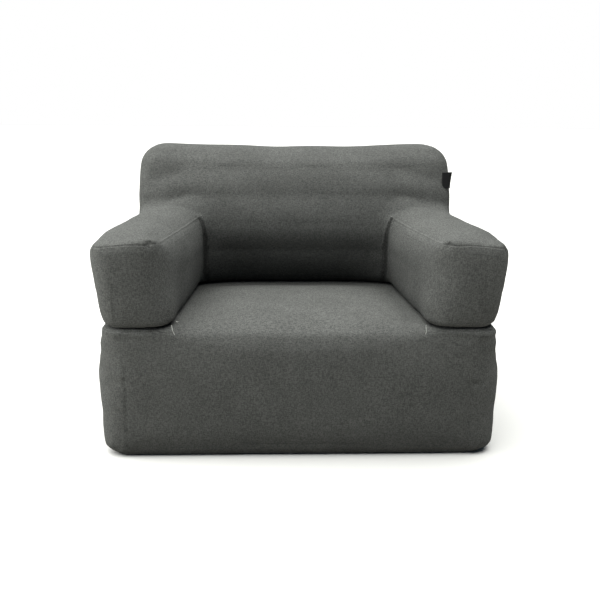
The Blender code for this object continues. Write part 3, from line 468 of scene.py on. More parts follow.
def smooth(value):
    """Rises from 0 to 1 with level ends."""
    share = np.clip(value, 0.0, 1.0)
    return share * share * (3 - 2 * share)


def bulge(share, power):
    """1 in the middle of a span and 0 from its ends on."""
    return np.maximum(0.0, 1 - np.abs(share) ** power)


def hump(distance, reach):
    """A rounded ridge of height 1, this wide to its shoulder."""
    return np.exp(-((distance / reach) ** 2) / 2)


def box_grid(half, spacing):
    """A closed grid over a plain box, as points and quads that face out."""
    points, quads, start = [], [], 0
    for axis in range(len(half)):
        first, second = (axis + 1) % len(half), (axis + 2) % len(half)
        lines = [
            np.linspace(-half[way], half[way], max(1, round(2 * half[way] / spacing)) + 1)
            for way in (first, second)
        ]
        rows, columns = np.meshgrid(*lines, indexing="ij")
        index = np.arange(rows.size).reshape(rows.shape)
        for sign in (-1, 1):
            face = np.empty((rows.size, len(half)))
            face[:, axis] = sign * half[axis]
            face[:, first] = rows.ravel()
            face[:, second] = columns.ravel()
            corners = [index[:-1, :-1], index[1:, :-1], index[1:, 1:], index[:-1, 1:]][::sign]
            quads.append(start + np.stack([corner.ravel() for corner in corners], axis=1))
            points.append(face)
            start += rows.size
    points = np.concatenate(points)
    cells = np.round(points / MERGE_DISTANCE).astype(np.int64)
    _, keep, index = np.unique(cells, axis=0, return_index=True, return_inverse=True)
    return points[keep], index.reshape(-1)[np.concatenate(quads)]


@dataclass(frozen=True)
class Block:
    """A soft box in its own axes: X across, Y along and Z from floor to lid."""

    half: tuple
    corner_radius: float
    lid_radius: object
    floor_radius: float
    shape: object
    mirrored: bool = False

    def surface(self, points):
        """Plain box points, rounded, swollen and placed."""
        local = rounded(self, points)
        return self.shape(local, local / np.array(self.half))

    def grid(self):
        points, quads = box_grid(self.half, GRID_SPACING)
        return self.surface(points), quads[:, ::-1] if self.mirrored else quads

    def seam(self, top=True, step=SEAM_STEP):
        """The line where lid or floor meets the wall: its points, and the way across it, wall to lid."""
        x, y, z = self.half
        level = z if top else -z
        corners = np.array([(0, y), (-x, y), (-x, -y), (x, -y), (x, y), (0, y)], float)
        line = []
        for start, end in zip(corners, corners[1:]):
            count = max(1, round(float(np.linalg.norm(end - start)) / step))
            line.append(start + (end - start) * np.linspace(0, 1, count, endpoint=False)[:, None])
        flat = np.concatenate(line)
        edge = np.column_stack([flat, np.full(len(flat), level)])
        toward_lid = edge.copy()
        toward_lid[:, :2] *= 1 - step / min(x, y)
        toward_wall = edge.copy()
        toward_wall[:, 2] *= 1 - step / z
        across = self.surface(toward_lid) - self.surface(toward_wall)
        across /= np.linalg.norm(across, axis=1)[:, None]
        return self.surface(edge), across


def rounded(block, points):
    """Turns the edges and corners of plain box points into quarter rounds."""
    x, y, z = points.T
    half = block.half
    inset = np.clip(np.minimum(half[0] - np.abs(x), half[1] - np.abs(y)), 0, None)
    depth = np.clip(half[2] - np.abs(z), 0, None)
    edge = np.where(z > 0, block.lid_radius(x, y), block.floor_radius)
    turn = EIGHTH_TURN * (1 + (inset - depth) / edge)
    near = np.maximum(inset, depth) < edge
    inset = np.where(near, edge * (1 - np.cos(turn)), inset)
    depth = np.where(near, edge * (1 - np.sin(turn)), depth)
    radius = block.corner_radius
    across = np.abs(x) - (half[0] - radius)
    along = np.abs(y) - (half[1] - radius)
    wide = np.maximum(np.maximum(across, along), MERGE_DISTANCE)
    narrow = np.minimum(across, along)
    turn = EIGHTH_TURN * np.clip(narrow, 0, None) / wide
    turn = np.where(across >= along, turn, QUARTER_TURN - turn)
    ring = radius - inset
    corner = narrow > 0
    new_x = np.where(across > 0, half[0] - inset, np.abs(x))
    new_x = np.where((across > 0) & (along > 0), half[0] - radius + ring * np.cos(turn), new_x)
    new_y = np.where(along > 0, half[1] - inset, np.abs(y))
    new_y = np.where(corner, half[1] - radius + ring * np.sin(turn), new_y)
    return np.column_stack(
        [np.copysign(new_x, x), np.copysign(new_y, y), np.copysign(half[2] - depth, z)]
    )


def base_edge_radius(x, y):
    """How round the base's top edge is: broad along the seat, tight under the arms and behind."""
    under_arm = smooth((np.abs(x) - EDGE_CHANGE_START) / (EDGE_CHANGE_END - EDGE_CHANGE_START))
    radius = SEAT_EDGE_RADIUS + (SEAM_EDGE_RADIUS - SEAT_EDGE_RADIUS) * under_arm
    return np.where(y < 0, radius, SEAM_EDGE_RADIUS)


def base_shape(local, shares):
    """Swells the base's sides and front, and crowns the seat between the arms."""
    x, y, z = shares.T
    place = local + np.array([0, (FRONT_Y + REAR_Y) / 2, BASE_HEIGHT / 2])
    belly = bulge(z, BELLY_POWER)
    out = BASE_SIDE_CROWN * bulge(y, SIDE_CROWN_POWER) * belly * np.abs(x) ** WALL_WEIGHT_POWER
    front = np.clip(-y, 0, None) ** WALL_WEIGHT_POWER
    forward = FRONT_CROWN * bulge(x, SIDE_CROWN_POWER) * belly * front
    seat_start = FRONT_Y + SEAT_CROWN_START
    seat_share = 2 * (place[:, 1] - seat_start) / (BACK_FRONT_Y - seat_start) - 1
    seat = bulge(place[:, 0] / SEAT_CROWN_HALF_WIDTH, SIDE_CROWN_POWER) * bulge(seat_share, SIDE_CROWN_POWER)
    lift = SEAT_CROWN * seat * np.clip(z, 0, None) ** WALL_WEIGHT_POWER
    return place + np.column_stack([np.copysign(out, x), -forward, lift])


BASE = Block(
    half=(BASE_WIDTH / 2, (REAR_Y - FRONT_Y) / 2, BASE_HEIGHT / 2),
    corner_radius=BASE_CORNER_RADIUS,
    lid_radius=base_edge_radius,
    floor_radius=BASE_BOTTOM_RADIUS,
    shape=base_shape,
)


def arm_shape(side):
    """Swells an arm, widens it towards the backrest and leans it outwards, on the side 1 or -1."""

    def shape(local, shares):
        x, y, z = shares.T
        belly = bulge(z, BELLY_POWER)
        out = ARM_SIDE_CROWN * bulge(y, SIDE_CROWN_POWER) * belly * np.abs(x) ** WALL_WEIGHT_POWER
        forward = FRONT_CROWN * bulge(x, BELLY_POWER) * belly * np.clip(-y, 0, None) ** WALL_WEIGHT_POWER
        top = np.clip(z, 0, None) ** WALL_WEIGHT_POWER
        rise = ARM_TOP_CROWN * bulge(y, SIDE_CROWN_POWER)
        rise += ARM_SHOULDER * np.clip(y, 0, None) ** SHOULDER_POWER
        lift = rise * bulge(x, BELLY_POWER) * top
        place = local + np.column_stack([np.copysign(out, x), -forward, lift])
        length = (place[:, 1] + ARM_LENGTH / 2) / ARM_LENGTH
        height = place[:, 2] + ARM_HEIGHT / 2
        outer = ARM_OUTER_FRONT_X + (ARM_OUTER_REAR_X - ARM_OUTER_FRONT_X) * length
        width = ARM_FRONT_WIDTH + (ARM_REAR_WIDTH - ARM_FRONT_WIDTH) * length * height / ARM_HEIGHT
        lean = ARM_LEAN * height / ARM_HEIGHT
        from_outer = (ARM_FRONT_WIDTH / 2 - place[:, 0]) / ARM_FRONT_WIDTH * width
        return np.column_stack([
            side * (outer + lean - from_outer),
            FRONT_Y + ARM_LENGTH * length,
            BASE_HEIGHT + ARM_FLOOR_GAP + height,
        ])

    return shape


def arm_block(side):
    """One arm, on the side 1 or -1."""
    return Block(
        half=(ARM_FRONT_WIDTH / 2, ARM_LENGTH / 2, ARM_HEIGHT / 2),
        corner_radius=ARM_CORNER_RADIUS,
        lid_radius=lambda x, y: np.full(len(x), ARM_TOP_RADIUS),
        floor_radius=ARM_BOTTOM_RADIUS,
        shape=arm_shape(side),
        mirrored=side < 0,
    )


def back_shape(local, shares):
    """The backrest's lid faces -Y; it leans back above the arms and draws in below the small of the back."""
    x, height, forward = shares.T
    belly = bulge(x, SIDE_CROWN_POWER) * bulge(height, BELLY_POWER)
    swell = BACK_CROWN * belly * np.clip(forward, 0, None) ** WALL_WEIGHT_POWER
    dip = BACK_TOP_DIP * bulge(x, BELLY_POWER) * np.clip(height, 0, None) ** WALL_WEIGHT_POWER
    z = local[:, 1] + BASE_HEIGHT + BACK_LIFT + BACK_HEIGHT / 2 - dip
    out = local[:, 2] + BACK_THICKNESS / 2 + swell
    top = BASE_HEIGHT + BACK_LIFT + BACK_HEIGHT
    rise = np.clip((z - RECLINE_START_Z) / (top - RECLINE_START_Z), 0, 1) ** RECLINE_POWER
    drop = np.clip((LUMBAR_Z - z) / (LUMBAR_Z - BASE_HEIGHT), 0, 1)
    drop *= bulge(local[:, 0] / SEAT_CROWN_HALF_WIDTH, SIDE_CROWN_POWER)
    set_back = BACK_TOP_SET_BACK * rise + BACK_UNDERCUT * drop
    return np.column_stack([local[:, 0], REAR_Y - out + set_back * out / BACK_THICKNESS, z])


BACK = Block(
    half=(BACK_WIDTH / 2, BACK_HEIGHT / 2, BACK_THICKNESS / 2),
    corner_radius=BACK_CORNER_RADIUS,
    lid_radius=lambda x, y: np.full(len(x), BACK_FRONT_RADIUS),
    floor_radius=BACK_REAR_RADIUS,
    shape=back_shape,
)


def new_mesh(name, points, faces):
    """A mesh made of these points and faces."""
    mesh = bpy.data.meshes.new(name)
    mesh.from_pydata([tuple(point) for point in points], [], [tuple(face) for face in faces])
    mesh.update()
    return mesh


def link(name, data):
    """A new object in the scene, at the origin."""
    made = bpy.data.objects.new(name, data)
    bpy.context.scene.collection.objects.link(made)
    return made


def applied(source):
    """The object's mesh with its modifiers worked in. The object itself goes."""
    graph = bpy.context.evaluated_depsgraph_get()
    mesh = bpy.data.meshes.new_from_object(source.evaluated_get(graph))
    bpy.data.objects.remove(source)
    return mesh


def skin(name, blocks, voxel):
    """One closed, even skin round blocks that overlap."""
    points, faces, start = [], [], 0
    for block in blocks:
        own_points, own_faces = block.grid()
        points.append(own_points)
        faces.append(own_faces + start)
        start += len(own_points)
    source = link(name, new_mesh(name, np.concatenate(points), np.concatenate(faces)))
    modifier = source.modifiers.new("Skin", "REMESH")
    modifier.mode = "VOXEL"
    modifier.voxel_size = voxel
    return applied(source)


def points_of(mesh):
    """The mesh's points, one row each."""
    flat = np.empty(len(mesh.vertices) * 3, np.float32)
    mesh.vertices.foreach_get("co", flat)
    return flat.reshape(-1, 3).astype(float)


def set_points(mesh, points):
    """Moves the mesh's points to these places."""
    mesh.vertices.foreach_set("co", points.astype(np.float32).ravel())
    mesh.update()


def normals_of(mesh):
    """Which way the mesh faces at each point."""
    flat = np.empty(len(mesh.vertices) * 3, np.float32)
    mesh.vertex_normals.foreach_get("vector", flat)
    return flat.reshape(-1, 3).astype(float)


def relax(mesh, weights, rounds):
    """Draws each point towards the middle of its neighbours, by its weight."""
    edges = np.empty(len(mesh.edges) * 2, np.int32)
    mesh.edges.foreach_get("vertices", edges)
    first, second = edges.reshape(-1, 2).T
    points = points_of(mesh)
    count = np.bincount(first, minlength=len(points)) + np.bincount(second, minlength=len(points))
    for _ in range(rounds):
        middle = np.zeros_like(points)
        for axis in range(points.shape[1]):
            middle[:, axis] = np.bincount(first, points[second, axis], len(points))
            middle[:, axis] += np.bincount(second, points[first, axis], len(points))
        middle /= count[:, None]
        points += weights[:, None] * (middle - points)
    set_points(mesh, points)


def inflate(mesh, held, settings):
    """Blows the mesh up as cloth from a slightly smaller start, no point further than the cap."""
    rest = points_of(mesh)
    free = (1 - held)[:, None]
    set_points(mesh, rest - settings.start_inset * free * normals_of(mesh))
    start = points_of(mesh)
    source = link("inflating", mesh)
    group = source.vertex_groups.new(name="held")
    for index in np.flatnonzero(held > MERGE_DISTANCE):
        group.add([int(index)], float(held[index]), "REPLACE")
    modifier = source.modifiers.new("Air", "CLOTH")
    cloth = modifier.settings
    cloth.use_pressure = True
    cloth.uniform_pressure_force = settings.pressure
    cloth.effector_weights.gravity = 0
    cloth.vertex_group_mass = group.name
    cloth.tension_stiffness = settings.stiffness
    cloth.compression_stiffness = settings.stiffness
    cloth.shear_stiffness = settings.stiffness
    cloth.bending_stiffness = settings.bending
    modifier.collision_settings.use_collision = False
    modifier.point_cache.frame_end = CLOTH_FRAMES
    scene = bpy.context.scene
    for step in range(1, CLOTH_FRAMES + 1):
        scene.frame_set(step)
    mesh = applied(source)
    scene.frame_set(1)
    moved = points_of(mesh) - start
    length = np.maximum(np.linalg.norm(moved, axis=1), MERGE_DISTANCE)
    share = settings.cap * (1 - np.exp(-length / settings.cap)) / length
    set_points(mesh, start + moved * share[:, None] * free)
    return mesh


def refined(name, mesh):
    """The mesh, once subdivided."""
    source = link(name, mesh)
    modifier = source.modifiers.new("Fine", "SUBSURF")
    modifier.levels = 1
    modifier.render_levels = 1
    return applied(source)


def cylinder(radius, front_y, rear_y, x, z):
    """A closed rod along Y."""
    turns = 2 * math.pi * np.arange(ROUND_STEPS) / ROUND_STEPS
    ring = np.column_stack([x + radius * np.cos(turns), np.zeros(ROUND_STEPS), z + radius * np.sin(turns)])
    points = np.concatenate([ring + (0, front_y, 0), ring + (0, rear_y, 0)])
    steps = range(ROUND_STEPS)
    faces = [(i, (i + 1) % ROUND_STEPS, ROUND_STEPS + (i + 1) % ROUND_STEPS, ROUND_STEPS + i) for i in steps]
    faces += [tuple(reversed(steps)), tuple(ROUND_STEPS + i for i in steps)]
    return new_mesh("rod", points, faces)


def slot(z):
    """A closed bar as long as a zip, which cuts the slot that its tapes lie in."""
    points, quads = box_grid(
        (ZIP_LENGTH / 2, SLOT_DEPTH, SLOT_HALF_HEIGHT), ZIP_LENGTH
    )
    return new_mesh("slot", points + (ZIP_X, REAR_Y, z), quads)


def cut(name, mesh, cutters):
    """The mesh with each of these closed meshes cut out of it."""
    source = link(name, mesh)
    tools = []
    for number, cutter in enumerate(cutters):
        tool = link(f"{name}_cutter_{number}", cutter)
        tool.hide_render = True
        modifier = source.modifiers.new("Cut", "BOOLEAN")
        modifier.operation = "DIFFERENCE"
        modifier.solver = "MANIFOLD"
        modifier.object = tool
        tools.append(tool)
    made = applied(source)
    for tool in tools:
        bpy.data.objects.remove(tool)
    return made


def rear_cutters(part):
    """The valve's opening and bore, and the slot of the zip, of the base or the backrest."""
    x, z = VALVES[part]
    behind = REAR_Y + SLOT_DEPTH
    return (
        cylinder(OPENING_RADIUS, CHAMBER_REAR_Y, behind, x, z),
        cylinder(BORE_RADIUS, REAR_Y - BORE_DEPTH, behind, x, z),
        slot(ZIPS[part]),
    )


def seam_distances(places, seams):
    """Each place's signed distance across the nearest seam, and how far along that seam it lies."""
    lines = [line for line, _ in seams]
    points = np.concatenate(lines)
    across = np.concatenate([way for _, way in seams])
    along = np.concatenate([SEAM_STEP * np.arange(len(line)) for line in lines])
    tree = KDTree(len(points))
    for index, point in enumerate(points):
        tree.insert(point, index)
    tree.balance()
    found = [tree.find(place) for place in places]
    nearest = np.array([index for _, index, _ in found])
    far = np.array([length for _, _, length in found])
    signed = np.sum((places - points[nearest]) * across[nearest], axis=1)
    off = np.sqrt(np.maximum(far**2 - signed**2, 0))
    lost = (far > SEAM_REACH) | (off > SEAM_OFF)
    return np.where(lost, SEAM_REACH, signed), along[nearest]


def store(mesh, name, values):
    """Keeps one value for each point with the mesh."""
    layer = mesh.attributes.new(name, "FLOAT", "POINT")
    layer.data.foreach_set("value", values.astype(np.float32))


def stored(mesh, name):
    """The values that store kept."""
    values = np.empty(len(mesh.vertices), np.float32)
    mesh.attributes[name].data.foreach_get("value", values)
    return values.astype(float)


def mark_seams(mesh, seams):
    """Gives each point its distance from the nearest seam, which it keeps as the mesh is shaped further."""
    distance, length = seam_distances(points_of(mesh), seams)
    store(mesh, "seam_distance", distance)
    store(mesh, "seam_length", length)


def wrinkle(length, pitch):
    """An uneven row of small folds, from -1 to 1."""
    turn = 2 * math.pi * length / pitch
    slow = turn / WRINKLE_SLOWING
    fade = WRINKLE_FADE_SHARE * (np.sin(WRINKLE_FADE_TURN * slow + WRINKLE_FADE_START) - 1)
    return np.sin(turn + WRINKLE_SWAY * np.sin(slow)) * (1 + fade)


def sew(mesh, settings, strength):
    """Draws the cloth in along its seams, with small folds beside them, and keeps how strongly each seam's
    line is painted with shade.
    """
    distance, length = stored(mesh, "seam_distance"), stored(mesh, "seam_length")
    groove = settings.seam_depth * strength * hump(distance, settings.seam_width)
    near = hump(distance, settings.fold_reach) * (np.abs(distance) < SEAM_REACH)
    folds = settings.fold_depth * near * wrinkle(length, settings.fold_pitch)
    set_points(mesh, points_of(mesh) - normals_of(mesh) * (groove + folds)[:, None])
    # How strongly the material paints shade along the seam line here, or a painted highlight where the
    # strength is below zero
    close = 1 - smooth((np.abs(distance) - SEAM_CLOSE) / SEAM_FADE)
    store(mesh, "seam_strength", strength * close)


def crease(places, start, end):
    """How near each flat place is to a short line, and its signed distance across the line."""
    line = np.array(end) - np.array(start)
    share = (places - np.array(start)) @ line / (line @ line)
    within = np.clip(share, 0, 1)
    far = np.linalg.norm(places - np.array(start) - within[:, None] * line, axis=1)
    across = (places - np.array(start)) @ np.array([line[1], -line[0]]) / np.linalg.norm(line)
    beside = (share > 0) & (share < 1) & (np.abs(across) < 2 * TUCK_REACH)
    return hump(far, TUCK_REACH) * (1 - TUCK_FADE * within), np.where(beside, across, SEAM_REACH)


class CushionSettings(bpy.types.PropertyGroup):
    voxel: FloatProperty(
        name="Mesh spacing", description="Spacing of the soft pieces' points before they are refined",
        default=0.0095, min=0.004, max=0.03, unit="LENGTH",
    )
    pressure: FloatProperty(
        name="Air pressure", description="Pressure of the cloth simulation", default=2.5, min=0, max=20,
    )
    stiffness: FloatProperty(
        name="Cloth stiffness", description="How little the cloth stretches", default=40.0, min=1, max=500,
    )
    bending: FloatProperty(
        name="Bending stiffness", description="How little the cloth folds", default=0.3, min=0, max=10,
    )
    cap: FloatProperty(
        name="Most swelling", description="The furthest that the air moves any point",
        default=0.009, min=0, max=0.03, unit="LENGTH",
    )
    start_inset: FloatProperty(
        name="Start inset", description="How much smaller the cloth starts than it ends",
        default=0.0025, min=0, max=0.03, unit="LENGTH",
    )
    seam_depth: FloatProperty(
        name="Seam depth", description="How far the cloth is drawn in along a seam",
        default=0.0010, min=0, max=0.01, unit="LENGTH",
    )
    seam_width: FloatProperty(
        name="Seam width", description="Half width of the groove along a seam",
        default=0.0055, min=0.001, max=0.02, unit="LENGTH",
    )
    fold_depth: FloatProperty(
        name="Fold depth", description="Height of the small folds beside a seam",
        default=0.0004, min=0, max=0.01, unit="LENGTH",
    )
    fold_reach: FloatProperty(
        name="Fold reach", description="How far the small folds run from a seam",
        default=0.014, min=0.002, max=0.05, unit="LENGTH",
    )
    fold_pitch: FloatProperty(
        name="Fold pitch", description="Distance between the small folds",
        default=0.034, min=0.005, max=0.2, unit="LENGTH",
    )


class ClothSettings(bpy.types.PropertyGroup):
    dark_yarn: FloatVectorProperty(
        name="Dark yarn", description="Colour of the darker yarns", subtype="COLOR",
        default=(0.0567, 0.0586, 0.0567), min=0, max=1,
    )
    light_yarn: FloatVectorProperty(
        name="Light yarn", description="Colour of the lighter yarns", subtype="COLOR",
        default=(0.1153, 0.1181, 0.1125), min=0, max=1,
    )
    yarn_size: FloatProperty(
        name="Yarn spacing", description="Distance between neighbouring yarns",
        default=0.0011, min=0.0003, max=0.01, unit="LENGTH",
    )
    roughness: FloatProperty(
        name="Roughness", description="Roughness of the yarn", default=0.88, min=0, max=1, subtype="FACTOR",
    )
    sheen: FloatProperty(
        name="Sheen", description="How bright the cloth is where it turns away",
        default=0.02, min=0, max=1, subtype="FACTOR",
    )


class FittingSettings(bpy.types.PropertyGroup):
    plastic: FloatVectorProperty(
        name="Valve plastic", description="Colour of the valves", subtype="COLOR",
        default=(0.030, 0.031, 0.033), min=0, max=1,
    )
    rubber: FloatVectorProperty(
        name="Seal rubber", description="Colour of the valve seals", subtype="COLOR",
        default=(0.012, 0.012, 0.012), min=0, max=1,
    )
    silicone: FloatVectorProperty(
        name="Flap silicone", description="Colour of the one-way flaps", subtype="COLOR",
        default=(0.55, 0.55, 0.52), min=0, max=1,
    )
    film: FloatVectorProperty(
        name="Chamber film", description="Colour of the air chambers' film", subtype="COLOR",
        default=(0.16, 0.18, 0.20), min=0, max=1,
    )
    tape: FloatVectorProperty(
        name="Tape", description="Colour of the binding and zip tapes", subtype="COLOR",
        default=(0.014, 0.014, 0.015), min=0, max=1,
    )
    metal: FloatVectorProperty(
        name="Zip metal", description="Colour of the zip sliders and pulls", subtype="COLOR",
        default=(0.10, 0.10, 0.105), min=0, max=1,
    )
    thread: FloatVectorProperty(
        name="Thread", description="Colour of the loose thread ends", subtype="COLOR",
        default=(0.48, 0.49, 0.46), min=0, max=1,
    )
    tooth_pitch: FloatProperty(
        name="Tooth pitch", description="Distance between the teeth of a zip",
        default=0.0025, min=0.001, max=0.01, unit="LENGTH",
    )
    stitch_pitch: FloatProperty(
        name="Stitch pitch", description="Distance between the stitches beside the zips and bindings",
        default=0.0036, min=0.001, max=0.02, unit="LENGTH",
    )


class StageSettings(bpy.types.PropertyGroup):
    floor_colour: FloatVectorProperty(
        name="Floor", description="Colour of the floor", subtype="COLOR",
        default=(0.66, 0.66, 0.65), min=0, max=1,
    )
    floor_glow: FloatVectorProperty(
        name="Floor bounce", description="Colour of the light that the floor throws back on the chair",
        subtype="COLOR", default=(0.336, 0.329, 0.308), min=0, max=1,
    )
    floor_size: FloatProperty(
        name="Floor size", description="Half the width of the floor", default=30.0, min=1, unit="LENGTH",
    )
    sun_power: FloatProperty(
        name="Overhead light", description="Strength of the wide light above the chair",
        default=7.4, min=0,
    )
    sun_angle: FloatProperty(
        name="Light width", description="How wide the overhead light looks from the chair",
        default=math.radians(90), min=0, max=math.pi, unit="ROTATION",
    )
    sun_tilt: FloatProperty(
        name="Light tilt", description="How far the overhead light leans to the left",
        default=math.radians(6), min=0, max=math.pi / 2, unit="ROTATION",
    )
    sun_back: FloatProperty(
        name="Light from behind", description="How far the overhead light leans to the rear",
        default=math.radians(7), min=-math.pi / 2, max=math.pi / 2, unit="ROTATION",
    )
    lamp_power: FloatProperty(
        name="Lamp", description="Power of the soft lamp on the left, in watts", default=24.0, min=0,
    )
    lamp_size: FloatProperty(
        name="Lamp size", description="Width and height of the soft lamp",
        default=1.0, min=0.01, unit="LENGTH",
    )
    lamp_place: FloatVectorProperty(
        name="Lamp place", description="Where the soft lamp stands", subtype="XYZ", unit="LENGTH",
        default=(-1.9, -0.6, 0.95),
    )
    room_light: FloatVectorProperty(
        name="Room light", description="Colour of the even light from all round", subtype="COLOR",
        default=(0.033, 0.050, 0.072), min=0, max=1,
    )


def shader_tree(name):
    """A new material, its node tree and its main shader."""
    made = bpy.data.materials.new(name)
    made.use_nodes = True
    tree = made.node_tree
    return made, tree, tree.nodes["Principled BSDF"]


def add_node(tree, kind, **values):
    """A new node with these settings."""
    node = tree.nodes.new(kind)
    for name, value in values.items():
        setattr(node, name, value)
    return node


def feed(tree, socket, value):
    """Links a socket to another node's output, or gives it a plain value."""
    if isinstance(value, bpy.types.NodeSocket):
        tree.links.new(value, socket)
    else:
        socket.default_value = value


def math_node(tree, operation, *values):
    """The result of a sum on numbers or sockets."""
    node = add_node(tree, "ShaderNodeMath", operation=operation)
    for socket, value in zip(node.inputs, values):
        feed(tree, socket, value)
    return node.outputs[0]


def noise(tree, place, scale, detail=2.0, stretch=(1, 1, 1)):
    """Soft cloudy noise over a place."""
    mapping = add_node(tree, "ShaderNodeMapping")
    mapping.inputs["Scale"].default_value = stretch
    tree.links.new(place, mapping.inputs["Vector"])
    node = add_node(tree, "ShaderNodeTexNoise")
    node.inputs["Scale"].default_value = scale
    node.inputs["Detail"].default_value = detail
    tree.links.new(mapping.outputs[0], node.inputs["Vector"])
    return node.outputs[0]


def mapped(tree, value, low, high, new_low=0.0, new_high=1.0):
    """A value carried smoothly from one range to another."""
    node = add_node(tree, "ShaderNodeMapRange", interpolation_type="SMOOTHSTEP")
    names = ("Value", "From Min", "From Max", "To Min", "To Max")
    for name, given in zip(names, (value, low, high, new_low, new_high)):
        feed(tree, node.inputs[name], given)
    return node.outputs[0]


def mixed(tree, share, first, second, blend="MIX"):
    """Two colours, mixed by a share."""
    node = add_node(tree, "ShaderNodeMix", data_type="RGBA", blend_type=blend)
    for index, value in ((0, share), (6, first), (7, second)):
        feed(tree, node.inputs[index], value)
    return node.outputs[2]


def object_place(tree):
    """Each point's place in the object, in metres."""
    return add_node(tree, "ShaderNodeTexCoord").outputs["Object"]


def weave_group():
    """Yarns in three directions: how light each spot's yarn is, and the height of the weave."""
    tree = bpy.data.node_groups.new("melange_weave", "ShaderNodeTree")
    sockets = tree.interface
    sockets.new_socket("Pitch", in_out="INPUT", socket_type="NodeSocketFloat")
    sockets.new_socket("Lightness", in_out="OUTPUT", socket_type="NodeSocketFloat")
    sockets.new_socket("Height", in_out="OUTPUT", socket_type="NodeSocketFloat")
    given = tree.nodes.new("NodeGroupInput")
    result = tree.nodes.new("NodeGroupOutput")
    place = object_place(tree)
    facing = add_node(tree, "ShaderNodeSeparateXYZ")
    tree.links.new(add_node(tree, "ShaderNodeNewGeometry").outputs["Normal"], facing.inputs[0])
    split = add_node(tree, "ShaderNodeSeparateXYZ")
    tree.links.new(place, split.inputs[0])
    turn = math_node(tree, "DIVIDE", math.pi, given.outputs["Pitch"])
    total, height = 0.0, 0.0
    for axis in range(3):
        stretch = [1.0, YARN_DEPTH_SHARE, 1.0]
        stretch[axis] *= YARN_STRETCH_SHARE
        yarn = noise(tree, place, YARN_NOISE_SCALE, YARN_NOISE_DETAIL, stretch)
        total = math_node(tree, "ADD", total, yarn)
        waves = [
            math_node(tree, "SINE", math_node(tree, "MULTIPLY", turn, split.outputs[(axis + step) % 3]))
            for step in (1, 2)
        ]
        share = math_node(tree, "MULTIPLY", facing.outputs[axis], facing.outputs[axis])
        crossing = math_node(tree, "MULTIPLY", *waves)
        height = math_node(tree, "MULTIPLY_ADD", crossing, share, height)
    tree.links.new(mapped(tree, total, *YARN_RANGE), result.inputs["Lightness"])
    tree.links.new(height, result.inputs["Height"])
    return tree


def cover_cloth(settings):
    """The charcoal melange of the cover, with a thin sunk line along each seam: painted shade darkens the
    colour along the line, and where a seam's strength is below zero a painted highlight lightens it instead.
    """
    made, tree, shader = shader_tree("cover_cloth")
    weave = add_node(tree, "ShaderNodeGroup", node_tree=bpy.data.node_groups["melange_weave"])
    weave.inputs["Pitch"].default_value = settings.yarn_size
    colour = mixed(tree, weave.outputs["Lightness"], (*settings.dark_yarn, 1), (*settings.light_yarn, 1))
    patch = mapped(tree, noise(tree, object_place(tree), PATCH_NOISE_SCALE), *NOISE_RANGE, *PATCH_RANGE)
    colour = mixed(tree, 1.0, colour, patch, "MULTIPLY")
    distance = add_node(tree, "ShaderNodeAttribute", attribute_name="seam_distance").outputs["Fac"]
    strength = add_node(tree, "ShaderNodeAttribute", attribute_name="seam_strength").outputs["Fac"]
    away = math_node(tree, "ABSOLUTE", distance)
    # Painted shade: a thin dark line along each seam, as strong as the seam's stored strength; below zero it
    # paints a highlight instead.
    line = mapped(tree, away, 0.0, SEAM_LINE_HALF_WIDTH, 1.0 - SEAM_SHADE, 0.0)
    shade = math_node(tree, "SUBTRACT", 1.0, math_node(tree, "MULTIPLY", line, strength))
    tree.links.new(mixed(tree, 1.0, colour, shade, "MULTIPLY"), shader.inputs["Base Color"])
    sunk = add_node(tree, "ShaderNodeBump")
    sunk.inputs["Distance"].default_value = SEAM_BUMP_DISTANCE
    lip = math_node(tree, "MULTIPLY", mapped(tree, away, 0.0, SEAM_LIP), strength)
    tree.links.new(lip, sunk.inputs["Height"])
    bump = add_node(tree, "ShaderNodeBump")
    bump.inputs["Distance"].default_value = WEAVE_BUMP_DISTANCE
    tree.links.new(weave.outputs["Height"], bump.inputs["Height"])
    tree.links.new(sunk.outputs[0], bump.inputs["Normal"])
    tree.links.new(bump.outputs[0], shader.inputs["Normal"])
    shader.inputs["Roughness"].default_value = settings.roughness
    shader.inputs["Sheen Weight"].default_value = settings.sheen
    shader.inputs["Sheen Roughness"].default_value = CLOTH_SHEEN_ROUGHNESS
    shader.inputs["Specular IOR Level"].default_value = CLOTH_SPECULAR
    return made


def worn(name, colour, roughness, scale, metallic=0.0, bump=0.0):
    """A fitting's finish: its colour and roughness drift a little over its surface, with a fine grain."""
    made, tree, shader = shader_tree(name)
    place = object_place(tree)
    drift = noise(tree, place, scale)
    dark = tuple(WORN_DARK_SHARE * part for part in colour)
    light = tuple(min(1.0, WORN_LIGHT_SHARE * part) for part in colour)
    share = mapped(tree, drift, *NOISE_RANGE)
    tree.links.new(mixed(tree, share, (*dark, 1), (*light, 1)), shader.inputs["Base Color"])
    smoothest, roughest = roughness - WORN_ROUGHNESS_DRIFT, roughness + WORN_ROUGHNESS_DRIFT
    tree.links.new(mapped(tree, drift, *NOISE_RANGE, smoothest, roughest), shader.inputs["Roughness"])
    shader.inputs["Metallic"].default_value = metallic
    grain = add_node(tree, "ShaderNodeBump")
    grain.inputs["Distance"].default_value = bump
    tree.links.new(noise(tree, place, scale * GRAIN_FINENESS), grain.inputs["Height"])
    tree.links.new(grain.outputs[0], shader.inputs["Normal"])
    return made


